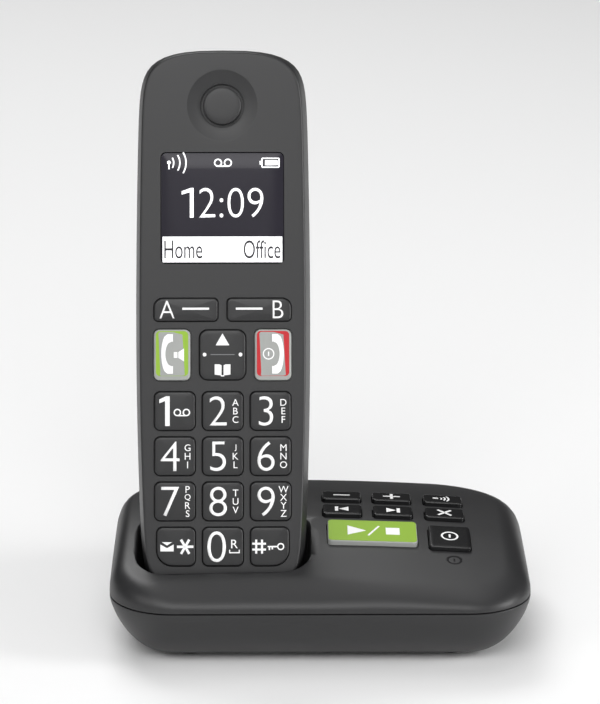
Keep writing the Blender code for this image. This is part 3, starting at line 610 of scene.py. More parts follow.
def key_marks(name):
    """The white print of a handset key, in the key's own plane."""
    marks = Marks()
    label = name.replace("key_", "")
    if label in LETTERS or label in ("1", "0"):
        tall = 9.0 if label == "0" else 8.6
        across = {"1": -2.9, "0": -1.8}.get(label, -1.35)
        if label != "1":
            marks.text(label, tall, (across, 0.0), -0.017, 0.98)
    if label == "1":
        marks.area([(-1.45, -4.35), (-1.45, 4.35), (-2.5, 4.35), (-4.5, 3.4), (-4.5, 2.3), (-2.8, 2.95),
                    (-2.8, -4.35)])
        cassette(marks, (2.1, -0.4), 1.1, 0.38)
    if label in LETTERS:
        letters = LETTERS[label]
        pitch = 2.5 if len(letters) == 3 else 2.35
        for place, letter in enumerate(letters):
            marks.text(letter, 1.95, (3.75, pitch * ((len(letters) - 1) / 2 - place)), 0.0)
    if label == "0":
        marks.text("R", 2.5, (3.4, 0.8), 0.0)
        for start, end in (((2.0, -0.9), (2.0, -1.75)), ((1.85, -1.75), (4.95, -1.75)),
                           ((4.8, -1.75), (4.8, -0.9))):
            marks.bar(start, end, 0.32)
    if label == "star":
        for turn in (0, 60, 120):
            reach = Vector((math.cos(math.radians(turn)), math.sin(math.radians(turn)))) * 2.4
            marks.bar((2.7 - reach.x, -reach.y), (2.7 + reach.x, reach.y), 0.72)
        envelope(marks, (-2.6, 0.0), 3.9, 2.7)
    if label == "hash":
        for offset in (-0.85, 0.85):
            marks.bar((-3.1 + offset, -2.05), (-3.1 + offset, 2.05), 0.6)
            marks.bar((-5.1, offset), (-1.1, offset), 0.6)
        marks.ring((3.2, 0.0), 1.05, 0.38)
        marks.bar((2.2, 0.0), (-0.6, 0.0), 0.42)
        marks.bar((-0.1, 0.0), (-0.1, -1.0), 0.42)
        marks.bar((0.75, 0.0), (0.75, -0.8), 0.42)
    if label in ("soft_a", "soft_b"):
        side = -1 if label == "soft_a" else 1
        marks.text(label[-1].upper(), 5.2, (side * 5.5, 0.1), -0.016, 0.88)
        marks.bar((-side * 2.9 - 3.9, 0.3), (-side * 2.9 + 3.9, 0.3), 0.62)
    if label == "talk":
        receiver_sign(marks, (-1.35, 0.3), 11.6, 1)
        marks.area([(0.5, -0.85), (1.6, -0.85), (1.6, 0.85), (0.5, 0.85)])
        marks.area([(1.85, -0.85), (3.5, -1.9), (3.5, 1.9), (1.85, 0.85)])
    if label == "end":
        receiver_sign(marks, (1.35, 0.3), 11.6, -1)
        power_sign(marks, (-1.3, 0.3), 1.7, 0.34)
    if label == "nav":
        marks.area([(-2.0, 2.8), (2.0, 2.8), (0.0, 6.3)])
        for side in (-1, 1):
            marks.area(circle(0.55, 20, (side * 5.25, 0.1)))
        book(marks, (0.0, -4.4))
    return marks


def envelope(marks, middle, width, height):
    """A closed envelope: a filled box split by the V of its flap."""
    x, y = middle
    half, tall = width / 2, height / 2
    gap = 0.42
    marks.area([(x - half, y - tall), (x + half, y - tall), (x + half, y + tall - gap * 1.6),
                (x, y - gap), (x - half, y + tall - gap * 1.6)])
    marks.area([(x - half + gap, y + tall), (x, y + gap * 0.9), (x + half - gap, y + tall)])


def book(marks, middle):
    """An open book: two pages either side of a spine."""
    x, y = middle
    marks.bar((x, y - 1.9), (x, y - 1.55), 1.0)
    for side in (-1, 1):
        marks.area([(x + side * 0.3, y - 1.6), (x + side * 2.3, y - 1.35), (x + side * 2.3, y + 1.65),
                    (x + side * 0.9, y + 1.65), (x + side * 0.3, y + 1.35)])


def face_plane(x, depth, z):
    """A plane on the handset's face: x right, y up the handset, z out of the face."""
    return HANDSET @ Matrix.Translation((x, depth, z)) @ Matrix.Rotation(math.radians(90), 4, "X")


def build_handset_key(name):
    """A key of the handset with its print; returns what its hole in the shell needs."""
    low, high = local_box(name, HANDSET)
    width = high.x - low.x - 2 * KEY_RIM
    height = high.z - low.z - 2 * KEY_RIM
    proud = -low.y
    middle_x, middle_z = (low.x + high.x) / 2, (low.z + high.z) / 2
    corners = CORNERS.get(name, (CORNER,) * 4)
    place = face_plane(middle_x, 0.0, middle_z)

    def bend(x):
        return -face_depth(middle_x + x) - KEY_DOME * (2 * x / width) ** 2

    rings = cap_rings(width, height, corners, proud, high.y - KEY_RIM_THICK, bend)
    show_rings(name + "_cap", rings, place, KEY_GREY if name in COLOURED else KEY_ABS, name, (name,))
    level = proud
    if name in COLOURED:
        face = rounded_rectangle(width - 1.24, height - 1.75, 1.2)
        level = proud + FACE_THICK
        plate = [[(x, y + FACE_LIFT, z + bend(x)) for x, y in face] for z in (proud - 0.2, level)]
        show_rings(name + "_print", plate, place, COLOURED[name], name)
    lifted = place @ Matrix.Translation((0.0, 0.0, level))
    show(name + "_legend", key_marks(name).made(name + "_legend", lifted, INK_THICK, bend), INK_WHITE, name)
    if name == "key_nav":
        groove = Marks()
        groove.bar((-3.5, 0.1), (3.5, 0.1), 0.22)
        show("key_nav_line", groove.made("key_nav_line", lifted, 0.02, bend), INK_GREY, name)
    return width, height, corners, middle_x, middle_z


def base_marks(name):
    """The white print of a base key."""
    marks = Marks()
    label = name.replace("base_key_", "")
    if label == "minus":
        marks.bar((-2.5, 0.0), (2.5, 0.0), 0.75)
    if label == "plus":
        marks.bar((-2.6, 0.0), (2.6, 0.0), 0.75)
        marks.bar((0.0, -2.2), (0.0, 2.2), 0.9)
    if label == "page":
        marks.bar((-3.0, 0.3), (-1.3, 0.3), 0.9)
        for radius in (1.5, 2.6, 3.7):
            marks.ring((-1.6, 0.0), radius, 0.5, 12, -38, 76)
    if label in ("previous", "next"):
        side = -1 if label == "previous" else 1
        marks.area([(-side * 1.9, -1.6), (-side * 1.9, 1.6), (side * 1.0, 0.0)])
        marks.bar((side * 1.7, -1.6), (side * 1.7, 1.6), 1.0)
    if label == "delete":
        marks.bar((-2.0, -1.9), (2.0, 1.9), 0.75)
        marks.bar((-2.0, 1.9), (2.0, -1.9), 0.75)
    if label == "play_stop":
        marks.area([(-7.4, -2.9), (-1.9, 0.0), (-7.4, 2.9)])
        marks.bar((-1.3, -3.0), (2.0, 3.0), 0.6)
        marks.area([(4.0, -2.1), (8.1, -2.1), (8.1, 2.1), (4.0, 2.1)])
    if label == "on_off":
        power_sign(marks, (0.0, 0.2), 2.6, 0.55)
    return marks


def build_base_key(name):
    place = base_key_place(name)
    low, high = local_box(name, place)
    width = high.x - low.x - 2 * KEY_RIM
    depth = high.y - low.y - 2 * KEY_RIM
    green = name == "base_key_play_stop"
    corners = (1.4 if green else 1.0,) * 4
    rings = cap_rings(width, depth, corners, 0.0, high.z - low.z - KEY_RIM_THICK)
    show_rings(name + "_cap", rings, place, KEY_GREY if green else BASE_KEY_ABS, name, (name,))
    level = 0.0
    if green:
        level = 0.04
        plate = flat_rings(rounded_rectangle(width - 0.5, depth - 0.5, 1.2), (-0.3, level))
        show_rings(name + "_print", plate, place, KEY_LIME, name)
    lifted = place @ Matrix.Translation((0.0, 0.0, level))
    show(name + "_legend", base_marks(name).made(name + "_legend", lifted, INK_THICK), INK_WHITE, name)


# Handset -------------------------------------------------------------------------------

def build_handset_front(holes):
    """The front shell: a crowned face with soft edges, cut for the keys, window and earpiece."""
    rim = PARTING - SEAM_GAP / 2
    outside = [(rim - away, inset) for away, inset in SEAM_EASE]
    for step in range(1, 9):
        share = step / 8
        outside.append((rim - 0.3 - (rim - 1.1) * share, EDGE_INSET * 0.84 * share ** 1.25))
    edge_depth, edge_inset = outside[-1]
    for step in range(1, 7):
        angle = math.pi / 2 * step / 6
        outside.append((edge_depth - edge_depth * 0.99 * math.sin(angle),
                        edge_inset + 0.9 * (1 - math.cos(angle))))
    rings = [[(x, WALL + face_depth(x), z) for x, z in handset_outline(WALL + 1.2)]]
    for depth, inset in ((6.0, WALL + 0.3), (rim, WALL)):
        rings += facing_rings(handset_outline(inset), (depth,))
    for depth, inset in outside:
        fade = max(0.0, 1 - depth / 3.0)
        rings.append([(x, depth + face_depth(x) * fade, z) for x, z in handset_outline(inset)])
    middle = LENGTH / 2
    for scale in (0.96, 0.88, 0.76, 0.6, 0.42, 0.22):
        scale_z = 0.35 + 0.65 * scale if scale > 0.3 else scale
        ring = []
        for x, z in handset_outline(outside[-1][1]):
            ring.append((x * scale, face_depth(x * scale), middle + (z - middle) * scale_z))
        rings.append(ring)
    shell = finish_mesh("handset_front", skin(rings), HANDSET)
    through = (-2.0, 4.5)
    cuts = bmesh.new()
    for width, height, corners, *key_middle in holes:
        points = rounded_rectangle(width + 2 * HOLE_GAP, height + 2 * HOLE_GAP,
                                   [corner + HOLE_GAP for corner in corners])
        skin(facing_rings(points, through, key_middle), cuts)
    low, high = local_box("display_window", HANDSET)
    window = rounded_rectangle(high.x - low.x + HOLE_GAP, high.z - low.z + HOLE_GAP, 1.6)
    window_z = (low.z + high.z) / 2
    skin(facing_rings(window, through, (0.0, window_z)), cuts)
    low, high = local_box("earpiece_cap", HANDSET)
    ear_z = (low.z + high.z) / 2
    dish = []
    for depth, radius in ((-2.0, 11.6), (0.0, 10.6), (0.12, 10.3), (0.5, 8.9), (0.8, 7.6), (0.95, 6.6),
                          (1.15, 6.3), (4.5, 6.3)):
        dish += facing_rings(circle(radius, 72), (depth,), (0.0, ear_z))
    skin(dish, cuts)
    shell = carved(shell, [("DIFFERENCE", finish_mesh("front_cuts", cuts, HANDSET))])
    show("handset_front", shell, SHELL_ABS, "handset", ("handset_front_shell",))
    build_earpiece(ear_z)
    build_display(window_z)


def build_earpiece(ear_z):
    """The raised disc over the receiver: slightly domed, with a rounded edge."""
    rings = []
    for depth, radius in ((2.9, 7.4), (2.1, 7.4), (2.1, 5.55), (0.75, 5.55), (0.45, 5.45), (0.25, 5.2),
                          (0.16, 4.8), (0.10, 3.6), (0.06, 2.0)):
        rings += facing_rings(circle(radius, 64), (depth,), (0.0, ear_z))
    rings.append([(0.0, 0.05, ear_z)])
    show_rings("earpiece_disc", rings, HANDSET, SHELL_ABS, "handset", ("earpiece_cap",))


PANE_DEPTH = 0.06        # middle of the window's pane below the face
PANE_BOW = 0.6           # how much of the face's crown the pane follows


def build_display(window_z):
    """The window's pane, bowed like the face, and the dots lit and dark that show through it."""
    low, high = local_box("display_window", HANDSET)
    width, height = high.x - low.x - 0.1, high.z - low.z - 0.1
    rings = []
    for depth, growth in ((1.2, 0.0), (0.25, 0.0), (0.12, -0.06), (PANE_DEPTH, -0.18)):
        points = rounded_rectangle(width + 2 * growth, height + 2 * growth, 1.5 + growth)
        rings.append([(x, depth + face_depth(x) * PANE_BOW, window_z + z) for x, z in points])
    for scale in (0.7, 0.4, 0.15):
        rings.append([(x * scale, PANE_DEPTH + face_depth(x * scale) * PANE_BOW,
                       window_z + (z - window_z) * scale) for x, _, z in rings[3]])
    show_rings("display_pane", rings, HANDSET, ACRYLIC, "handset", ("display_window",))
    place = face_plane(0.0, -PANE_DEPTH, window_z)

    def bend(x):
        return -face_depth(x) * PANE_BOW - 0.1

    light = Marks()
    light.area(rounded_rectangle(35.0, 7.5, 0.1, 1))
    light.mesh.transform(Matrix.Translation((0.0, -12.15, 0.0)))
    light.text("2:09", 8.7, (2.6, 1.5), -0.02, 0.9)
    light.area([(-8.4, -2.85), (-8.4, 5.85), (-9.2, 5.85), (-11.9, 4.9), (-11.9, 3.9), (-9.5, 4.6),
                (-9.5, -2.85)])
    status_row(light)
    dots = light.made("display_light_dots", place, INK_THICK, bend)
    show("display_light_dots", dots, DOTS_WHITE, "handset")
    dark = Marks()
    dark.text("Home", 5.3, (-17.0, -12.15), 0.0, 0.6, -1)
    dark.text("Office", 5.3, (17.0, -12.15), 0.0, 0.6, 1)
    deeper = place @ Matrix.Translation((0.0, 0.0, INK_THICK))
    dots = dark.made("display_dark_dots", deeper, 0.02, bend)
    show("display_dark_dots", dots, DOTS_DARK, "handset")


def status_row(marks):
    """Reception, answering-machine and battery signs along the top of the display."""
    row = 13.2
    marks.bar((-15.6, row - 1.9), (-15.6, row), 0.4)
    marks.area(circle(0.55, 16, (-15.6, row + 0.1)))
    for place in range(3):
        marks.ring((-17.0 + 0.35 * place, row), 3.0 + 1.45 * place, 0.4, 12, -32, 64)
    cassette(marks, (0.2, row), 1.2, 0.4)
    left, right, tall = 11.6, 16.6, 1.3
    for start, end in (((left, row - tall), (right, row - tall)), ((left, row + tall), (right, row + tall)),
                       ((left, row - tall), (left, row + tall)), ((right, row - tall), (right, row + tall))):
        marks.bar(start, end, 0.35)
    marks.area(rounded_rectangle(3.7, 1.5, 0.05, 1))
    for vertex in list(marks.mesh.verts)[-8:]:
        vertex.co.x += (left + right) / 2 + 0.25
        vertex.co.y += row
    marks.bar((left - 0.7, row), (left - 0.2, row), 1.1)


def build_handset_rear():
    """The rear shell: rounded back, battery opening with its wells, grille and contact slots."""
    rim = PARTING + SEAM_GAP / 2
    draw_in = 9.4
    outside = [(rim + away, inset) for away, inset in SEAM_EASE]
    for step in range(1, 19):
        angle = math.pi / 2 * step / 18
        outside.append((rim + 0.3 + (BACK - rim - 0.3) * math.sin(angle) ** 0.75,
                        draw_in * (1 - math.cos(angle) ** 0.9)))
    inside = [(BACK - WALL, WALL + 7.6), (21.0, WALL + 2.4), (17.0, WALL + 0.5), (rim, WALL)]
    rings = []
    for depth, inset in inside + outside:
        rings += facing_rings(handset_outline(inset), (depth,))
    shell = finish_mesh("handset_rear", skin(rings), HANDSET)
    low, high = local_box("battery_cover", HANDSET)
    gap = 0.25
    middle_z = (low.z + high.z) / 2
    opening = rounded_rectangle(high.x - low.x + 2 * gap, high.z - low.z + 2 * gap, 2.2)
    cuts = bmesh.new()
    skin(facing_rings(opening, (BACK - WALL - 0.35, BACK + 2.0), (0.0, middle_z)), cuts)
    grille = rounded_rectangle(16.0, 12.6, 2.4)
    grille_depth = BACK - 0.9
    skin(facing_rings(grille, (grille_depth, BACK + 2.0), (0.0, GRILLE_Z)), cuts)
    steps = [("UNION", battery_tray(low, high)), ("DIFFERENCE", finish_mesh("rear_cuts", cuts, HANDSET)),
             ("DIFFERENCE", battery_wells()), ("DIFFERENCE", contact_slots(4.2, 3.4, 0.5, (-3.0, 4.0)))]
    show("handset_rear", carved(shell, steps), SHELL_ABS, "handset", ("handset_rear_shell",))
    build_cover(low, high)
    build_slats("handset_grille", HANDSET @ Matrix.Translation((0.0, grille_depth, GRILLE_Z)), 15.4, 1.9, 6,
                "handset")


def contact_slots(width, depth, corner, levels):
    """A slot for each of the two charge contacts, between two heights up the handset."""
    slots = bmesh.new()
    for side in (-1, 1):
        points = rounded_rectangle(width, depth, corner)
        skin(flat_rings(points, levels, (side * CONTACT_X, CONTACT_Y)), slots)
    return finish_mesh("slots", slots, HANDSET)


def battery_tray(low, high):
    """The thicker wall round the battery opening, which the cells' wells are cut through."""
    edge = 1.2
    floor = rounded_rectangle(high.x - low.x + 2 * edge, high.z - low.z + 2 * edge, 2.6)
    rings = facing_rings(floor, (BACK - WALL - 1.5, BACK - 0.5), (0.0, (low.z + high.z) / 2))
    return finish_mesh("tray", skin(rings), HANDSET)


def battery_wells():
    """The opening for two cells side by side."""
    cells = [local_box(name, HANDSET) for name in ("battery_left", "battery_right")]
    left = min(cell[0].x for cell in cells) - 0.3
    right = max(cell[1].x for cell in cells) + 0.3
    foot = min(cell[0].z for cell in cells) - 2.4
    head = max(cell[1].z for cell in cells) + 1.6
    points = rounded_rectangle(right - left, head - foot, 1.0)
    rings = facing_rings(points, (PARTING + 1.4, BACK + 1.0), ((left + right) / 2, (foot + head) / 2))
    return finish_mesh("wells", skin(rings), HANDSET)


def build_cover(low, high):
    """The battery cover: a plate with eased edges and a finger notch near its lower end."""
    width, height = high.x - low.x, high.z - low.z
    middle_z = (low.z + high.z) / 2
    rings = []
    for depth, growth in ((low.y, -0.2), (low.y + 0.2, 0.0), (high.y - 0.3, 0.0), (high.y - 0.1, -0.1),
                          (high.y, -0.35)):
        points = rounded_rectangle(width + 2 * growth, height + 2 * growth, 2.0 + growth)
        rings += facing_rings(points, (depth,), (0.0, middle_z))
    plate = finish_mesh("cover", skin(rings), HANDSET)
    notch = []
    for depth, radius in ((high.y + 1.0, 7.6), (high.y, 7.0), (high.y - 0.35, 6.1), (high.y - 0.6, 4.6)):
        notch.append([(x, depth, low.z + 7.5 + z * 0.55) for x, z in circle(radius, 48)])
    piece = carved(plate, [("DIFFERENCE", finish_mesh("notch", skin(notch), HANDSET))])
    show("battery_cover_plate", piece, SHELL_ABS, "battery_cover", ("battery_cover",))
    place = HANDSET @ Matrix.Translation((0.0, high.y - 0.55, low.z + 6.4))
    build_slats("cover_grip", place, 6.6, 1.1, 3, "battery_cover", 0.35)


# Geometry Nodes: slats, screws and socket wires ------------------------------------------

def tree_with_inputs(name, inputs):
    """A Geometry Nodes tree with named number inputs; returns it with its input node and a
    table from input name to socket identifier."""
    tree = bpy.data.node_groups.new(name, "GeometryNodeTree")
    tree.interface.new_socket("Geometry", in_out="OUTPUT", socket_type="NodeSocketGeometry")
    ids = {}
    for label, kind in inputs.items():
        ids[label] = tree.interface.new_socket(label, in_out="INPUT", socket_type=kind).identifier
    return tree, tree.nodes.new("NodeGroupInput"), ids


def end_tree(tree, instances, finish):
    """Make the instances real, give them their finish and send them out."""
    real = add(tree, "GeometryNodeRealizeInstances", None, {"Geometry": instances})
    coated = add(tree, "GeometryNodeSetMaterial", {"Material": finish},
                 {"Geometry": real.outputs["Geometry"]})
    add(tree, "NodeGroupOutput", None, {"Geometry": coated.outputs["Geometry"]})


def grown(tree, ids, values, place, name):
    """Run a tree once with its input values and return the result as a placed plain mesh."""
    holder = scene_object("holder", bpy.data.meshes.new("holder"))
    step = holder.modifiers.new("grow", "NODES")
    step.node_group = tree
    for label, value in values.items():
        step[ids[label]] = value
    data = evaluated_mesh(holder)
    bpy.data.objects.remove(holder)
    data.name = name
    data.transform(Matrix.Scale(MM, 4) @ place)
    smooth(data)
    return data


def slat_tree():
    """A row of round-edged slats one above another, centred on the origin."""
    tree, given, ids = tree_with_inputs("slats", {
        "Length": "NodeSocketFloat", "Thickness": "NodeSocketFloat", "Pitch": "NodeSocketFloat",
        "Count": "NodeSocketInt"})
    values = given.outputs
    reach = add(tree, "ShaderNodeMath", {"operation": "MULTIPLY"}, {0: values["Pitch"], 1: values["Count"]})
    less = add(tree, "ShaderNodeMath", {"operation": "SUBTRACT"}, {0: reach.outputs[0], 1: values["Pitch"]})
    half = add(tree, "ShaderNodeMath", {"operation": "MULTIPLY", 1: -0.5}, {0: less.outputs[0]})
    start = add(tree, "ShaderNodeCombineXYZ", None, {"Z": half.outputs[0]})
    offset = add(tree, "ShaderNodeCombineXYZ", None, {"Z": values["Pitch"]})
    row = add(tree, "GeometryNodeMeshLine", None, {
        "Count": values["Count"], "Start Location": start.outputs[0], "Offset": offset.outputs[0]})
    slat = add(tree, "GeometryNodeMeshCylinder", {"Vertices": 12, "Radius": 0.5, "Depth": 1.0})
    size = add(tree, "ShaderNodeCombineXYZ", None, {
        "X": values["Thickness"], "Y": values["Thickness"], "Z": values["Length"]})
    shaped = add(tree, "GeometryNodeTransform", {"Rotation": (0.0, math.pi / 2, 0.0)}, {
        "Geometry": slat.outputs["Mesh"], "Scale": size.outputs[0]})
    spread = add(tree, "GeometryNodeInstanceOnPoints", None, {
        "Points": row.outputs["Mesh"], "Instance": shaped.outputs["Geometry"]})
    end_tree(tree, spread.outputs["Instances"], SHELL_ABS)
    return tree, ids


def build_slats(name, place, length, pitch, count, body, thickness=0.9):
    """A row of slats across the handset's back, sunk so that a part of each stands proud."""
    tree, ids = SLATS
    data = grown(tree, ids, {"Length": length, "Thickness": thickness, "Pitch": pitch, "Count": count},
                 place @ Matrix.Translation((0.0, thickness * 0.4, 0.0)), name)
    show(name, data, SHELL_ABS, body)


def screw_tree():
    """A pan-head screw pointing up along z, with a cross recess in its underside head."""
    tree, given, ids = tree_with_inputs("screw", {
        "Head Radius": "NodeSocketFloat", "Head Height": "NodeSocketFloat",
        "Shank Radius": "NodeSocketFloat", "Length": "NodeSocketFloat"})
    values = given.outputs
    head = add(tree, "GeometryNodeMeshCone", {"Vertices": 32}, {
        "Radius Top": values["Head Radius"], "Depth": values["Head Height"]})
    narrow = add(tree, "ShaderNodeMath", {"operation": "MULTIPLY", 1: 0.86}, {0: values["Head Radius"]})
    tree.links.new(narrow.outputs[0], head.inputs["Radius Bottom"])
    arm_size = add(tree, "ShaderNodeMath", {"operation": "MULTIPLY", 1: 1.15}, {0: values["Head Radius"]})
    depth = add(tree, "ShaderNodeMath", {"operation": "MULTIPLY", 1: 1.1}, {0: values["Head Height"]})
    cutters = []
    for turn in (0.0, math.pi / 2):
        size = add(tree, "ShaderNodeCombineXYZ", {"Y": 0.55},
                   {"X": arm_size.outputs[0], "Z": depth.outputs[0]})
        arm = add(tree, "GeometryNodeMeshCube", None, {"Size": size.outputs[0]})
        turned = add(tree, "GeometryNodeTransform", {"Rotation": (0.0, 0.0, turn)},
                     {"Geometry": arm.outputs["Mesh"]})
        cutters.append(turned.outputs["Geometry"])
    recess = add(tree, "GeometryNodeMeshBoolean", {"operation": "DIFFERENCE"},
                 {"Mesh 1": head.outputs["Mesh"]})
    for tool in cutters:
        tree.links.new(tool, recess.inputs["Mesh 2"])
    shank = add(tree, "GeometryNodeMeshCylinder", {"Vertices": 24}, {
        "Radius": values["Shank Radius"], "Depth": values["Length"]})
    rise = add(tree, "ShaderNodeMath", {"operation": "MULTIPLY", 1: 0.5}, {0: values["Length"]})
    above = add(tree, "ShaderNodeMath", {"operation": "ADD"}, {0: rise.outputs[0], 1: values["Head Height"]})
    lift = add(tree, "ShaderNodeCombineXYZ", None, {"Z": above.outputs[0]})
    raised = add(tree, "GeometryNodeTransform", None, {
        "Geometry": shank.outputs["Mesh"], "Translation": lift.outputs[0]})
    joined = add(tree, "GeometryNodeJoinGeometry", None, {"Geometry": raised.outputs["Geometry"]})
    tree.links.new(recess.outputs["Mesh"], joined.inputs["Geometry"])
    end_tree(tree, joined.outputs["Geometry"], STEEL)
    return tree, ids


def wire_tree():
    """The row of spring wires inside a modular socket, side by side along x."""
    tree, given, ids = tree_with_inputs("socket_wires", {
        "Pitch": "NodeSocketFloat", "Count": "NodeSocketInt", "Length": "NodeSocketFloat"})
    values = given.outputs
    offset = add(tree, "ShaderNodeCombineXYZ", None, {"X": values["Pitch"]})
    row = add(tree, "GeometryNodeMeshLine", None, {"Count": values["Count"], "Offset": offset.outputs[0]})
    wire = add(tree, "GeometryNodeMeshCylinder", {"Vertices": 10, "Radius": 0.22},
               {"Depth": values["Length"]})
    laid = add(tree, "GeometryNodeTransform", {"Rotation": (math.radians(72), 0.0, 0.0)},
               {"Geometry": wire.outputs["Mesh"]})
    spread = add(tree, "GeometryNodeInstanceOnPoints", None, {
        "Points": row.outputs["Mesh"], "Instance": laid.outputs["Geometry"]})
    end_tree(tree, spread.outputs["Instances"], NICKEL)
    return tree, ids


SLATS = slat_tree()
SCREW = screw_tree()
WIRES = wire_tree()


# Base ----------------------------------------------------------------------------------

DOME_REACH = 18.0        # how far in from its edge the base's top is drawn as a shoulder
TUB_REACH = 15.0         # how far the bottom shell draws in at its foot
SCREWS = ("base_screw_left", "base_screw_right")
SOCKETS = ("line_socket", "power_socket")
FEET = ("foot_front_left", "foot_front_right", "foot_back_left", "foot_back_right")
TOP_HOLD = TUB_HIGH.z + SEAM_GAP      # lower rim of the top shell
POCKET_PLAY = 1.0
POCKET_RIM_WIDTH = 48.6
POCKET_FOOT = -0.3       # floor of the pocket along the handset's axis, just below its end
POCKET_TAPER = ((POCKET_FOOT, 0.76), (3.0, 0.90))       # (level up the handset, share of full width)
LIP = 1.5                # radius of the soft edge round the pocket


def base_plan(inset, arc=12, straight=10):
    """The base seen from above, drawn in by an inset."""
    half_width, half_depth = BASE_HALF_WIDTH - inset, BASE_HALF_DEPTH - inset

    def radius_at(end):
        return max((BACK_RADIUS if end > 0 else FRONT_RADIUS) - inset, 3.0)
    quarters = ((1, 1), (-1, 1), (-1, -1), (1, -1))
    points = []
    for quarter, (side, end) in enumerate(quarters):
        radius = radius_at(end)
        for step in range(arc + 1):
            angle = math.pi / 2 * (quarter + step / arc)
            points.append((side * (half_width - radius) + radius * math.cos(angle),
                           end * (half_depth - radius) + radius * math.sin(angle)))
        next_side, next_end = quarters[(quarter + 1) % 4]
        following = radius_at(next_end)
        start = points[-1]
        if quarter % 2 == 0:
            finish = (next_side * (half_width - following), end * half_depth)
        else:
            finish = (side * half_width, next_end * (half_depth - following))
        for step in range(1, straight):
            share = step / straight
            points.append((start[0] + (finish[0] - start[0]) * share,
                           start[1] + (finish[1] - start[1]) * share))
    return points


def top_height(x, y):
    """Height of the arched top, before its edges are rounded."""
    return PEAK_Z - ARCH * (y - PEAK_Y) ** 2 - CROWN * (x - CROWN_X) ** 2


def smooth_step(value, start, end):
    """0 before start, 1 after end, and a soft rise between."""
    share = min(1.0, max(0.0, (value - start) / (end - start)))
    return share * share * (3 - 2 * share)


def shoulder_width(x, y):
    """The rounded edge is broad in front of the handset and narrows to the right of it."""
    broad = smooth_step(-y, 30.0, 42.0) * (1 - smooth_step(x, -6.0, 22.0)) * smooth_step(x, -52.0, -38.0)
    left = smooth_step(-x, 34.0, 50.0)
    return SHOULDER * (0.8 - 0.22 * left + 0.6 * broad)


def shoulder_share(inset, x, y):
    """How much of its full height the top has at a distance in from its edge."""
    out = max(0.0, 1 - inset / shoulder_width(x, y))
    return (1 - out ** 2.2) ** 0.4


def surface_height(x, y):
    """Height of the base's top shell at a point in plan, shoulder included."""
    radius = BACK_RADIUS if y > 0 else FRONT_RADIUS
    away_x = abs(x) - (BASE_HALF_WIDTH - radius)
    away_y = abs(y) - (BASE_HALF_DEPTH - radius)
    outside = math.hypot(max(away_x, 0.0), max(away_y, 0.0)) + min(max(away_x, away_y), 0.0)
    inset = max(0.0, radius - outside)
    return SEAM_Z + (top_height(x, y) - SEAM_Z) * shoulder_share(inset, x, y)


def dome_rings(offset, bottom):
    """The top of the base as a solid, drawn in by an offset on every side but the bottom."""
    outermost = offset == 0.0
    rim = ((0.0, 0.28), (0.08, 0.08), (0.3, 0.0)) if outermost else ((0.0, offset),)
    rings = []
    for away, inset in rim:
        rings += flat_rings(base_plan(inset), (bottom + away,))
    lift = 0.02
    for step in range(2 if outermost else 0, 29):
        inset = DOME_REACH * (1 - math.cos(math.pi / 2 * step / 28))
        ring = []
        for x, y in base_plan(offset + inset):
            high = top_height(x, y) - offset
            ring.append((x, y, SEAM_Z + lift + (high - SEAM_Z) * shoulder_share(inset, x, y)))
        rings.append(ring)
    for scale in (0.93, 0.85, 0.75, 0.64, 0.52, 0.4, 0.28, 0.15):
        ring = []
        for x, y in base_plan(offset + DOME_REACH):
            ring.append((x * scale, y * scale, top_height(x * scale, y * scale) - offset + lift))
        rings.append(ring)
    rings.append([(0.0, 0.0, top_height(0.0, 0.0) - offset + lift)])
    return rings


def pocket_outline(growth, share=1.0):
    """The pocket in the handset's cross-section, its front edge bowed forward a little."""
    width = POCKET_RIM_WIDTH * share + 2 * POCKET_PLAY + 2 * growth * 0.5
    depth = BACK + 2 * POCKET_PLAY + 2 * growth
    points = []
    for x, y in rounded_rectangle(width, depth, 6.5 + growth, 10):
        bow = 2.8 * max(0.0, 1 - (2 * x / width) ** 2) if y < 0 else 0.0
        points.append((x, y + BACK / 2 + 0.5 - bow))
    return points


def level_at_surface(x, y):
    """How far up the handset's axis a line from (x, y) meets the base's top."""
    low, high = 0.0, 60.0
    for _ in range(30):
        middle = (low + high) / 2
        point = HANDSET @ Vector((x, y, middle))
        if point.z < surface_height(point.x, point.y):
            low = middle
        else:
            high = middle
    return low


def pocket_space():
    """Everything the pocket takes away: tapered at its foot, flared softly at its lip."""
    rings = []
    for level, share in POCKET_TAPER + ((7.0, 0.965),):
        rings += flat_rings(pocket_outline(0.0, share), (level,))
    meets = [level_at_surface(x, y) for x, y in pocket_outline(0.0)]
    for below, growth in ((LIP * 1.6, 0.0), (LIP, 0.09), (LIP * 0.62, 0.3), (LIP * 0.3, 0.65),
                          (LIP * 0.08, 1.05), (-LIP * 0.25, 1.6), (-14.0, 5.0)):
        grown_points = pocket_outline(growth)
        rings.append([(x, y, max(meet - below, 7.3)) for (x, y), meet in zip(grown_points, meets)])
    return finish_mesh("pocket_space", skin(rings), HANDSET)


def pocket_cup():
    """The pocket's wall and floor, before the space inside is taken away."""
    (foot, foot_share), above = POCKET_TAPER
    rings = []
    for level, share in ((foot - WALL, foot_share), above, (8.0, 0.965), (20.0, 1.0), (60.0, 1.0)):
        rings += flat_rings(pocket_outline(WALL, share), (level,))
    cup = finish_mesh("pocket_cup", skin(rings), HANDSET)
    limit = finish_mesh("cup_limit", skin(dome_rings(WALL / 2, 1.0)))
    return carved(cup, [("INTERSECT", limit)])


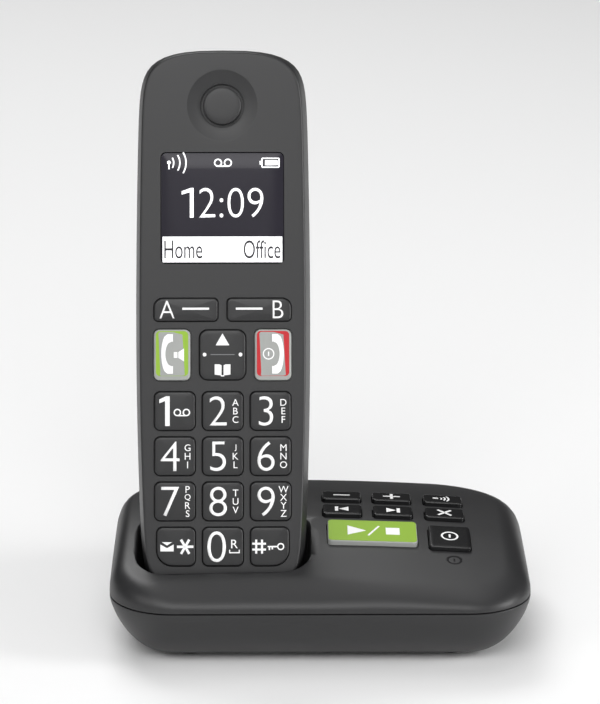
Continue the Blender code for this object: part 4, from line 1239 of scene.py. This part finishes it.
def build_base_top(keys):
    """The top shell: an arched dome with the pocket, cut for the keys, lamp and contacts."""
    shell = finish_mesh("base_top", skin(dome_rings(0.0, TOP_HOLD)))
    hollow = finish_mesh("top_hollow", skin(dome_rings(WALL, TOP_HOLD - 2.0)))
    cuts = bmesh.new()
    for name in keys:
        place = base_key_place(name)
        low, high = local_box(name, place)
        grow = 2 * (HOLE_GAP - KEY_RIM)
        points = rounded_rectangle(high.x - low.x + grow, high.y - low.y + grow, 1.5)
        skin([[place @ Vector((x, y, z)) for x, y in points] for z in (-5.0, 3.0)], cuts)
    low, high = local_box("answer_indicator", Matrix.Identity(4))
    middle = (low + high) / 2
    skin(flat_rings(circle(2.36, 40), (low.z - 2.0, high.z + 3.0), middle), cuts)
    steps = [("DIFFERENCE", hollow), ("UNION", pocket_cup()), ("DIFFERENCE", pocket_space()),
             ("DIFFERENCE", finish_mesh("top_cuts", cuts)),
             ("DIFFERENCE", contact_slots(3.4, 2.6, 0.4, (-5.0, 3.0)))]
    show("base_top", carved(shell, steps), SHELL_ABS, "base", ("base_top_shell",))
    build_indicator(middle)


def build_indicator(middle):
    """The answer lamp: a disc flush with the top that carries a ring-and-bar sign."""
    height = surface_height(middle.x, middle.y)
    tilt = Matrix.Rotation(-math.atan(2 * ARCH * (middle.y - PEAK_Y)), 4, "X")
    side = Matrix.Rotation(math.atan(2 * CROWN * (middle.x - CROWN_X)), 4, "Y")
    place = Matrix.Translation((middle.x, middle.y, height)) @ side @ tilt
    top = -0.06
    rings = turned_rings(((-3.2, 2.3), (-0.2, 2.3), (-0.1, 2.2), (top, 2.0), (top, 1.0)), 40)
    show_rings("answer_lamp", rings, place, SHELL_ABS, "base", ("answer_indicator",))
    marks = Marks()
    power_sign(marks, (0.0, 0.0), 2.2, 0.55)
    sign = marks.made("answer_sign", place @ Matrix.Translation((0.0, 0.0, top)), 0.02)
    show("answer_sign", sign, INK_DARK, "base")


def build_base_bottom():
    """The bottom shell: a tub that draws in to its foot, with everything that its floor and
    its back wall carry."""
    floor, rim = TUB_LOW.z, TUB_HIGH.z
    outside = [(rim, 0.28), (rim - 0.08, 0.08), (rim - 0.3, 0.0)]
    for step in range(1, 21):
        angle = math.pi / 2 * step / 20
        outside.append((floor + (rim - 0.3 - floor) * (1 - math.sin(angle) ** 1.25),
                        TUB_REACH * (1 - math.cos(angle)) ** 0.88))
    rings = []
    for level, inset in ((3.0, 15.0), (5.7, 9.0), (9.1, 4.4), (13.4, 1.6), (rim, 0.9)):
        rings += flat_rings(base_plan(inset + WALL), (level,))
    for level, inset in outside:
        rings += flat_rings(base_plan(inset), (level,))
    shell = finish_mesh("base_bottom", skin(rings))
    below = -1.0
    label_middle = (0.0, -6.0)
    cuts = bmesh.new()
    for name in SOCKETS:
        low, high = cad_box(name)
        points = rounded_rectangle(high.x - low.x + 0.5, high.z - low.z + 0.5, 0.8)
        middle = (low + high) / 2
        skin(facing_rings(points, (low.y - 0.4, BASE_HALF_DEPTH + 3), middle.xz), cuts)
    for name in SCREWS:
        low, high = cad_box(name)
        hole = ((below, 3.2), (floor, 2.9), (floor + 0.2, 2.6), (floor + 1.2, 2.6), (floor + 1.2, 1.3),
                (floor + 5.0, 1.3))
        skin(turned_rings(hole, 36, (low + high) / 2), cuts)
    for name in FEET:
        low, high = cad_box(name)
        skin(flat_rings(circle(5.15, 40), (below, floor + 0.35), (low + high) / 2), cuts)
    skin(flat_rings(rounded_rectangle(44.0, 22.0, 1.5), (below, floor + 0.25), label_middle), cuts)
    vents = bmesh.new()
    for row in range(-3, 4):
        points = rounded_rectangle(15.0 - abs(row) * 1.6, 1.2, 0.58)
        skin(flat_rings(points, (below, floor + 4.0), (26.0, -12.0 + row * 2.6)), vents)
    steps = [("DIFFERENCE", finish_mesh("tub_cuts", cuts)), ("DIFFERENCE", finish_mesh("vents", vents))]
    show("base_bottom", carved(shell, steps), SHELL_ABS, "base", ("base_bottom_shell",))
    label = flat_rings(rounded_rectangle(42.6, 20.6, 1.2), (floor + 0.24, floor + 0.1), label_middle)
    show_rings("blank_label", label, None, INK_GREY, "base")
    for name in FEET:
        build_foot(name)
    for name in SOCKETS:
        build_socket(name)
    for name in SCREWS:
        build_screw(name)


def build_foot(name):
    """A soft disc with rounded edges, and a shallow ring and a dimple in its underside."""
    low, high = cad_box(name)
    radius = (high.x - low.x) / 2
    profile = ((1.3, radius), (0.45, radius), (0.2, radius - 0.08), (0.05, radius - 0.3), (0.0, radius - 0.6),
               (0.0, 3.4), (0.15, 3.2), (0.15, 2.8), (0.0, 2.6), (0.0, 1.6), (0.15, 1.4), (0.15, 0.6))
    show_rings(name + "_pad", turned_rings(profile, 48, (low + high) / 2), None, RUBBER, "base", (name,))


def build_socket(name):
    """A modular socket with a stepped mouth, a latch slot and its row of wires."""
    low, high = cad_box(name)
    middle = (low + high) / 2
    width, height = high.x - low.x, high.z - low.z
    block = facing_rings(rounded_rectangle(width, height, 0.4), (low.y, high.y), middle.xz)
    depths = (low.y + 2.2, high.y + 1.0)
    mouth = facing_rings(rounded_rectangle(width - 2.4, height - 3.4, 0.3), depths,
                         (middle.x, middle.z + 0.5))
    latch = facing_rings(rounded_rectangle(3.4, 2.6, 0.3), depths, (middle.x, low.z + 2.3))
    data = carved(finish_mesh("block", skin(block)), [("DIFFERENCE", finish_mesh("mouth", skin(mouth))),
                                                      ("DIFFERENCE", finish_mesh("latch", skin(latch)))])
    # The jack's plastic is real black ABS, darkened further as painted shade for the depth of its opening.
    show(name + "_jack", data, SOCKET_ABS_PAINTED_SHADE, "base", (name,))
    tree, ids = WIRES
    count = 4 if name == "line_socket" else 6
    pitch = 1.02
    start = Matrix.Translation((middle.x - pitch * (count - 1) / 2, low.y + 5.2, high.z - 3.1))
    wires = grown(tree, ids, {"Pitch": pitch, "Count": count, "Length": 5.4}, start, name + "_wires")
    show(name + "_wires", wires, NICKEL, "base")


def build_screw(name):
    """A case screw, head down in its hole in the base's floor."""
    low, high = cad_box(name)
    middle = (low + high) / 2
    tree, ids = SCREW
    place = Matrix.Translation((middle.x, middle.y, low.z + 0.35))
    data = grown(tree, ids, {"Head Radius": 2.3, "Head Height": 0.7, "Shank Radius": 1.0,
                             "Length": high.z - low.z - 1.1}, place, name + "_turned")
    show(name + "_turned", data, STEEL, "base", (name,))


# Carried-over CAD nodes: hidden or small pieces whose shape is already right -------------

CARRIED = {
    "display_module": ACRYLIC, "earpiece_receiver": STEEL, "handsfree_speaker": STEEL, "microphone": STEEL,
    "handset_circuit_board": BOARD, "base_circuit_board": BOARD, "keypad_mat": RUBBER, "base_key_mat": RUBBER,
    "battery_left": SLEEVE, "battery_right": SLEEVE, "battery_contact_lower": NICKEL,
    "battery_contact_upper": NICKEL, "handset_charge_contact_left": NICKEL,
    "handset_charge_contact_right": NICKEL, "charge_spring_left": NICKEL, "charge_spring_right": NICKEL,
    "handset_screw_left": STEEL, "handset_screw_right": STEEL, "base_speaker": STEEL}


def dress_carried_nodes():
    """Give the CAD's own meshes their finishes."""
    for name, finish in CARRIED.items():
        data = frame["nodes"][name].data
        data.materials.clear()
        data.materials.append(finish)


# Camera, light and floor ------------------------------------------------------------------

def build_camera():
    """A long lens in front of the object, looking down on it by 17 degrees."""
    elevation, yaw = math.radians(17.0), math.radians(0.33)
    aim = Vector((-5.8, 0.0, 84.3)) * MM
    distance = 0.947
    level = math.cos(elevation)
    forward = Vector((math.sin(yaw) * level, math.cos(yaw) * level, -math.sin(elevation)))
    camera = bpy.data.cameras.new("camera")
    camera.lens = 163.6
    camera.sensor_width = 36.0
    camera.clip_end = 20.0
    holder = scene_object("camera", camera)
    holder.location = aim - forward * distance
    holder.rotation_euler = forward.to_track_quat("-Z", "Y").to_euler()
    bpy.context.scene.camera = holder


def area_light(name, location, aim, size, power):
    """A white soft box that faces a point; sizes and places in metres, power in watts."""
    lamp = bpy.data.lights.new(name, "AREA")
    lamp.shape = "RECTANGLE"
    lamp.size, lamp.size_y = size
    lamp.energy = power
    holder = scene_object(name, lamp)
    holder.location = location
    holder.rotation_euler = (Vector(aim) - Vector(location)).to_track_quat("-Z", "Y").to_euler()


def build_studio():
    """A white surround that is brighter in front than behind, soft boxes and a paper sweep."""
    world = bpy.data.worlds.new("studio")
    bpy.context.scene.world = world
    bpy.context.scene.view_settings.view_transform = "Standard"
    world.use_nodes = True
    tree = world.node_tree
    ways = add(tree, "ShaderNodeSeparateXYZ", None,
               {"Vector": add(tree, "ShaderNodeTexCoord").outputs["Generated"]})
    fall = add(tree, "ShaderNodeMapRange", {"From Min": -0.85, "From Max": -0.05, "To Min": 0.6,
                                            "To Max": 0.05}, {"Value": ways.outputs["Y"]})
    tree.links.new(fall.outputs["Result"], tree.nodes["Background"].inputs["Strength"])
    tree.nodes["Background"].inputs["Color"].default_value = (1.0, 1.0, 1.0, 1.0)
    area_light("front_high", (-0.15, -1.3, 1.2), (0, 0, 0.0), (1.2, 0.9), 13.0)
    area_light("overhead", (0.0, 0.2, 1.5), (0, 0, 0.0), (1.2, 1.0), 5.0)
    area_light("front_left", (-1.1, -0.8, 0.75), (0, 0, 0.08), (0.6, 0.6), 3.0)
    area_light("right_strip", (1.0, -0.3, 0.3), (0, 0, 0.06), (0.3, 0.8), 8.0)
    area_light("back_fill", (-0.4, 1.1, 1.5), (0, 0, 0.05), (1.0, 0.7), 13.0)
    floor = bmesh.new()
    bmesh.ops.create_grid(floor, x_segments=1, y_segments=1, size=4000.0)
    data = finish_mesh("floor", floor, Matrix.Translation((0.0, 0.0, -0.05)))
    sheet, tree, shader, place = new_material("pale_paper_sweep", {
        "Base Color": linear("f4f4f4"), "Roughness": 0.8})
    fibre = add(tree, "ShaderNodeTexNoise", {"Scale": 1 / (1.5 * MM)}, {"Vector": place})
    bump = add(tree, "ShaderNodeBump", {"Strength": 0.05, "Distance": 0.05 * MM},
               {"Height": fibre.outputs["Fac"]})
    tree.links.new(bump.outputs["Normal"], shader.inputs["Normal"])
    data.materials.append(sheet)
    scene_object("floor", data)


def main():
    build_camera()
    build_studio()
    moving = [joint["child"] for joint in frame["joints"]]
    holes = [build_handset_key(name) for name in moving if name.startswith("key_")]
    base_keys = [name for name in moving if name.startswith("base_key_")]
    build_handset_front(holes)
    build_handset_rear()
    for name in base_keys:
        build_base_key(name)
    build_base_top(base_keys)
    build_base_bottom()
    dress_carried_nodes()


main()
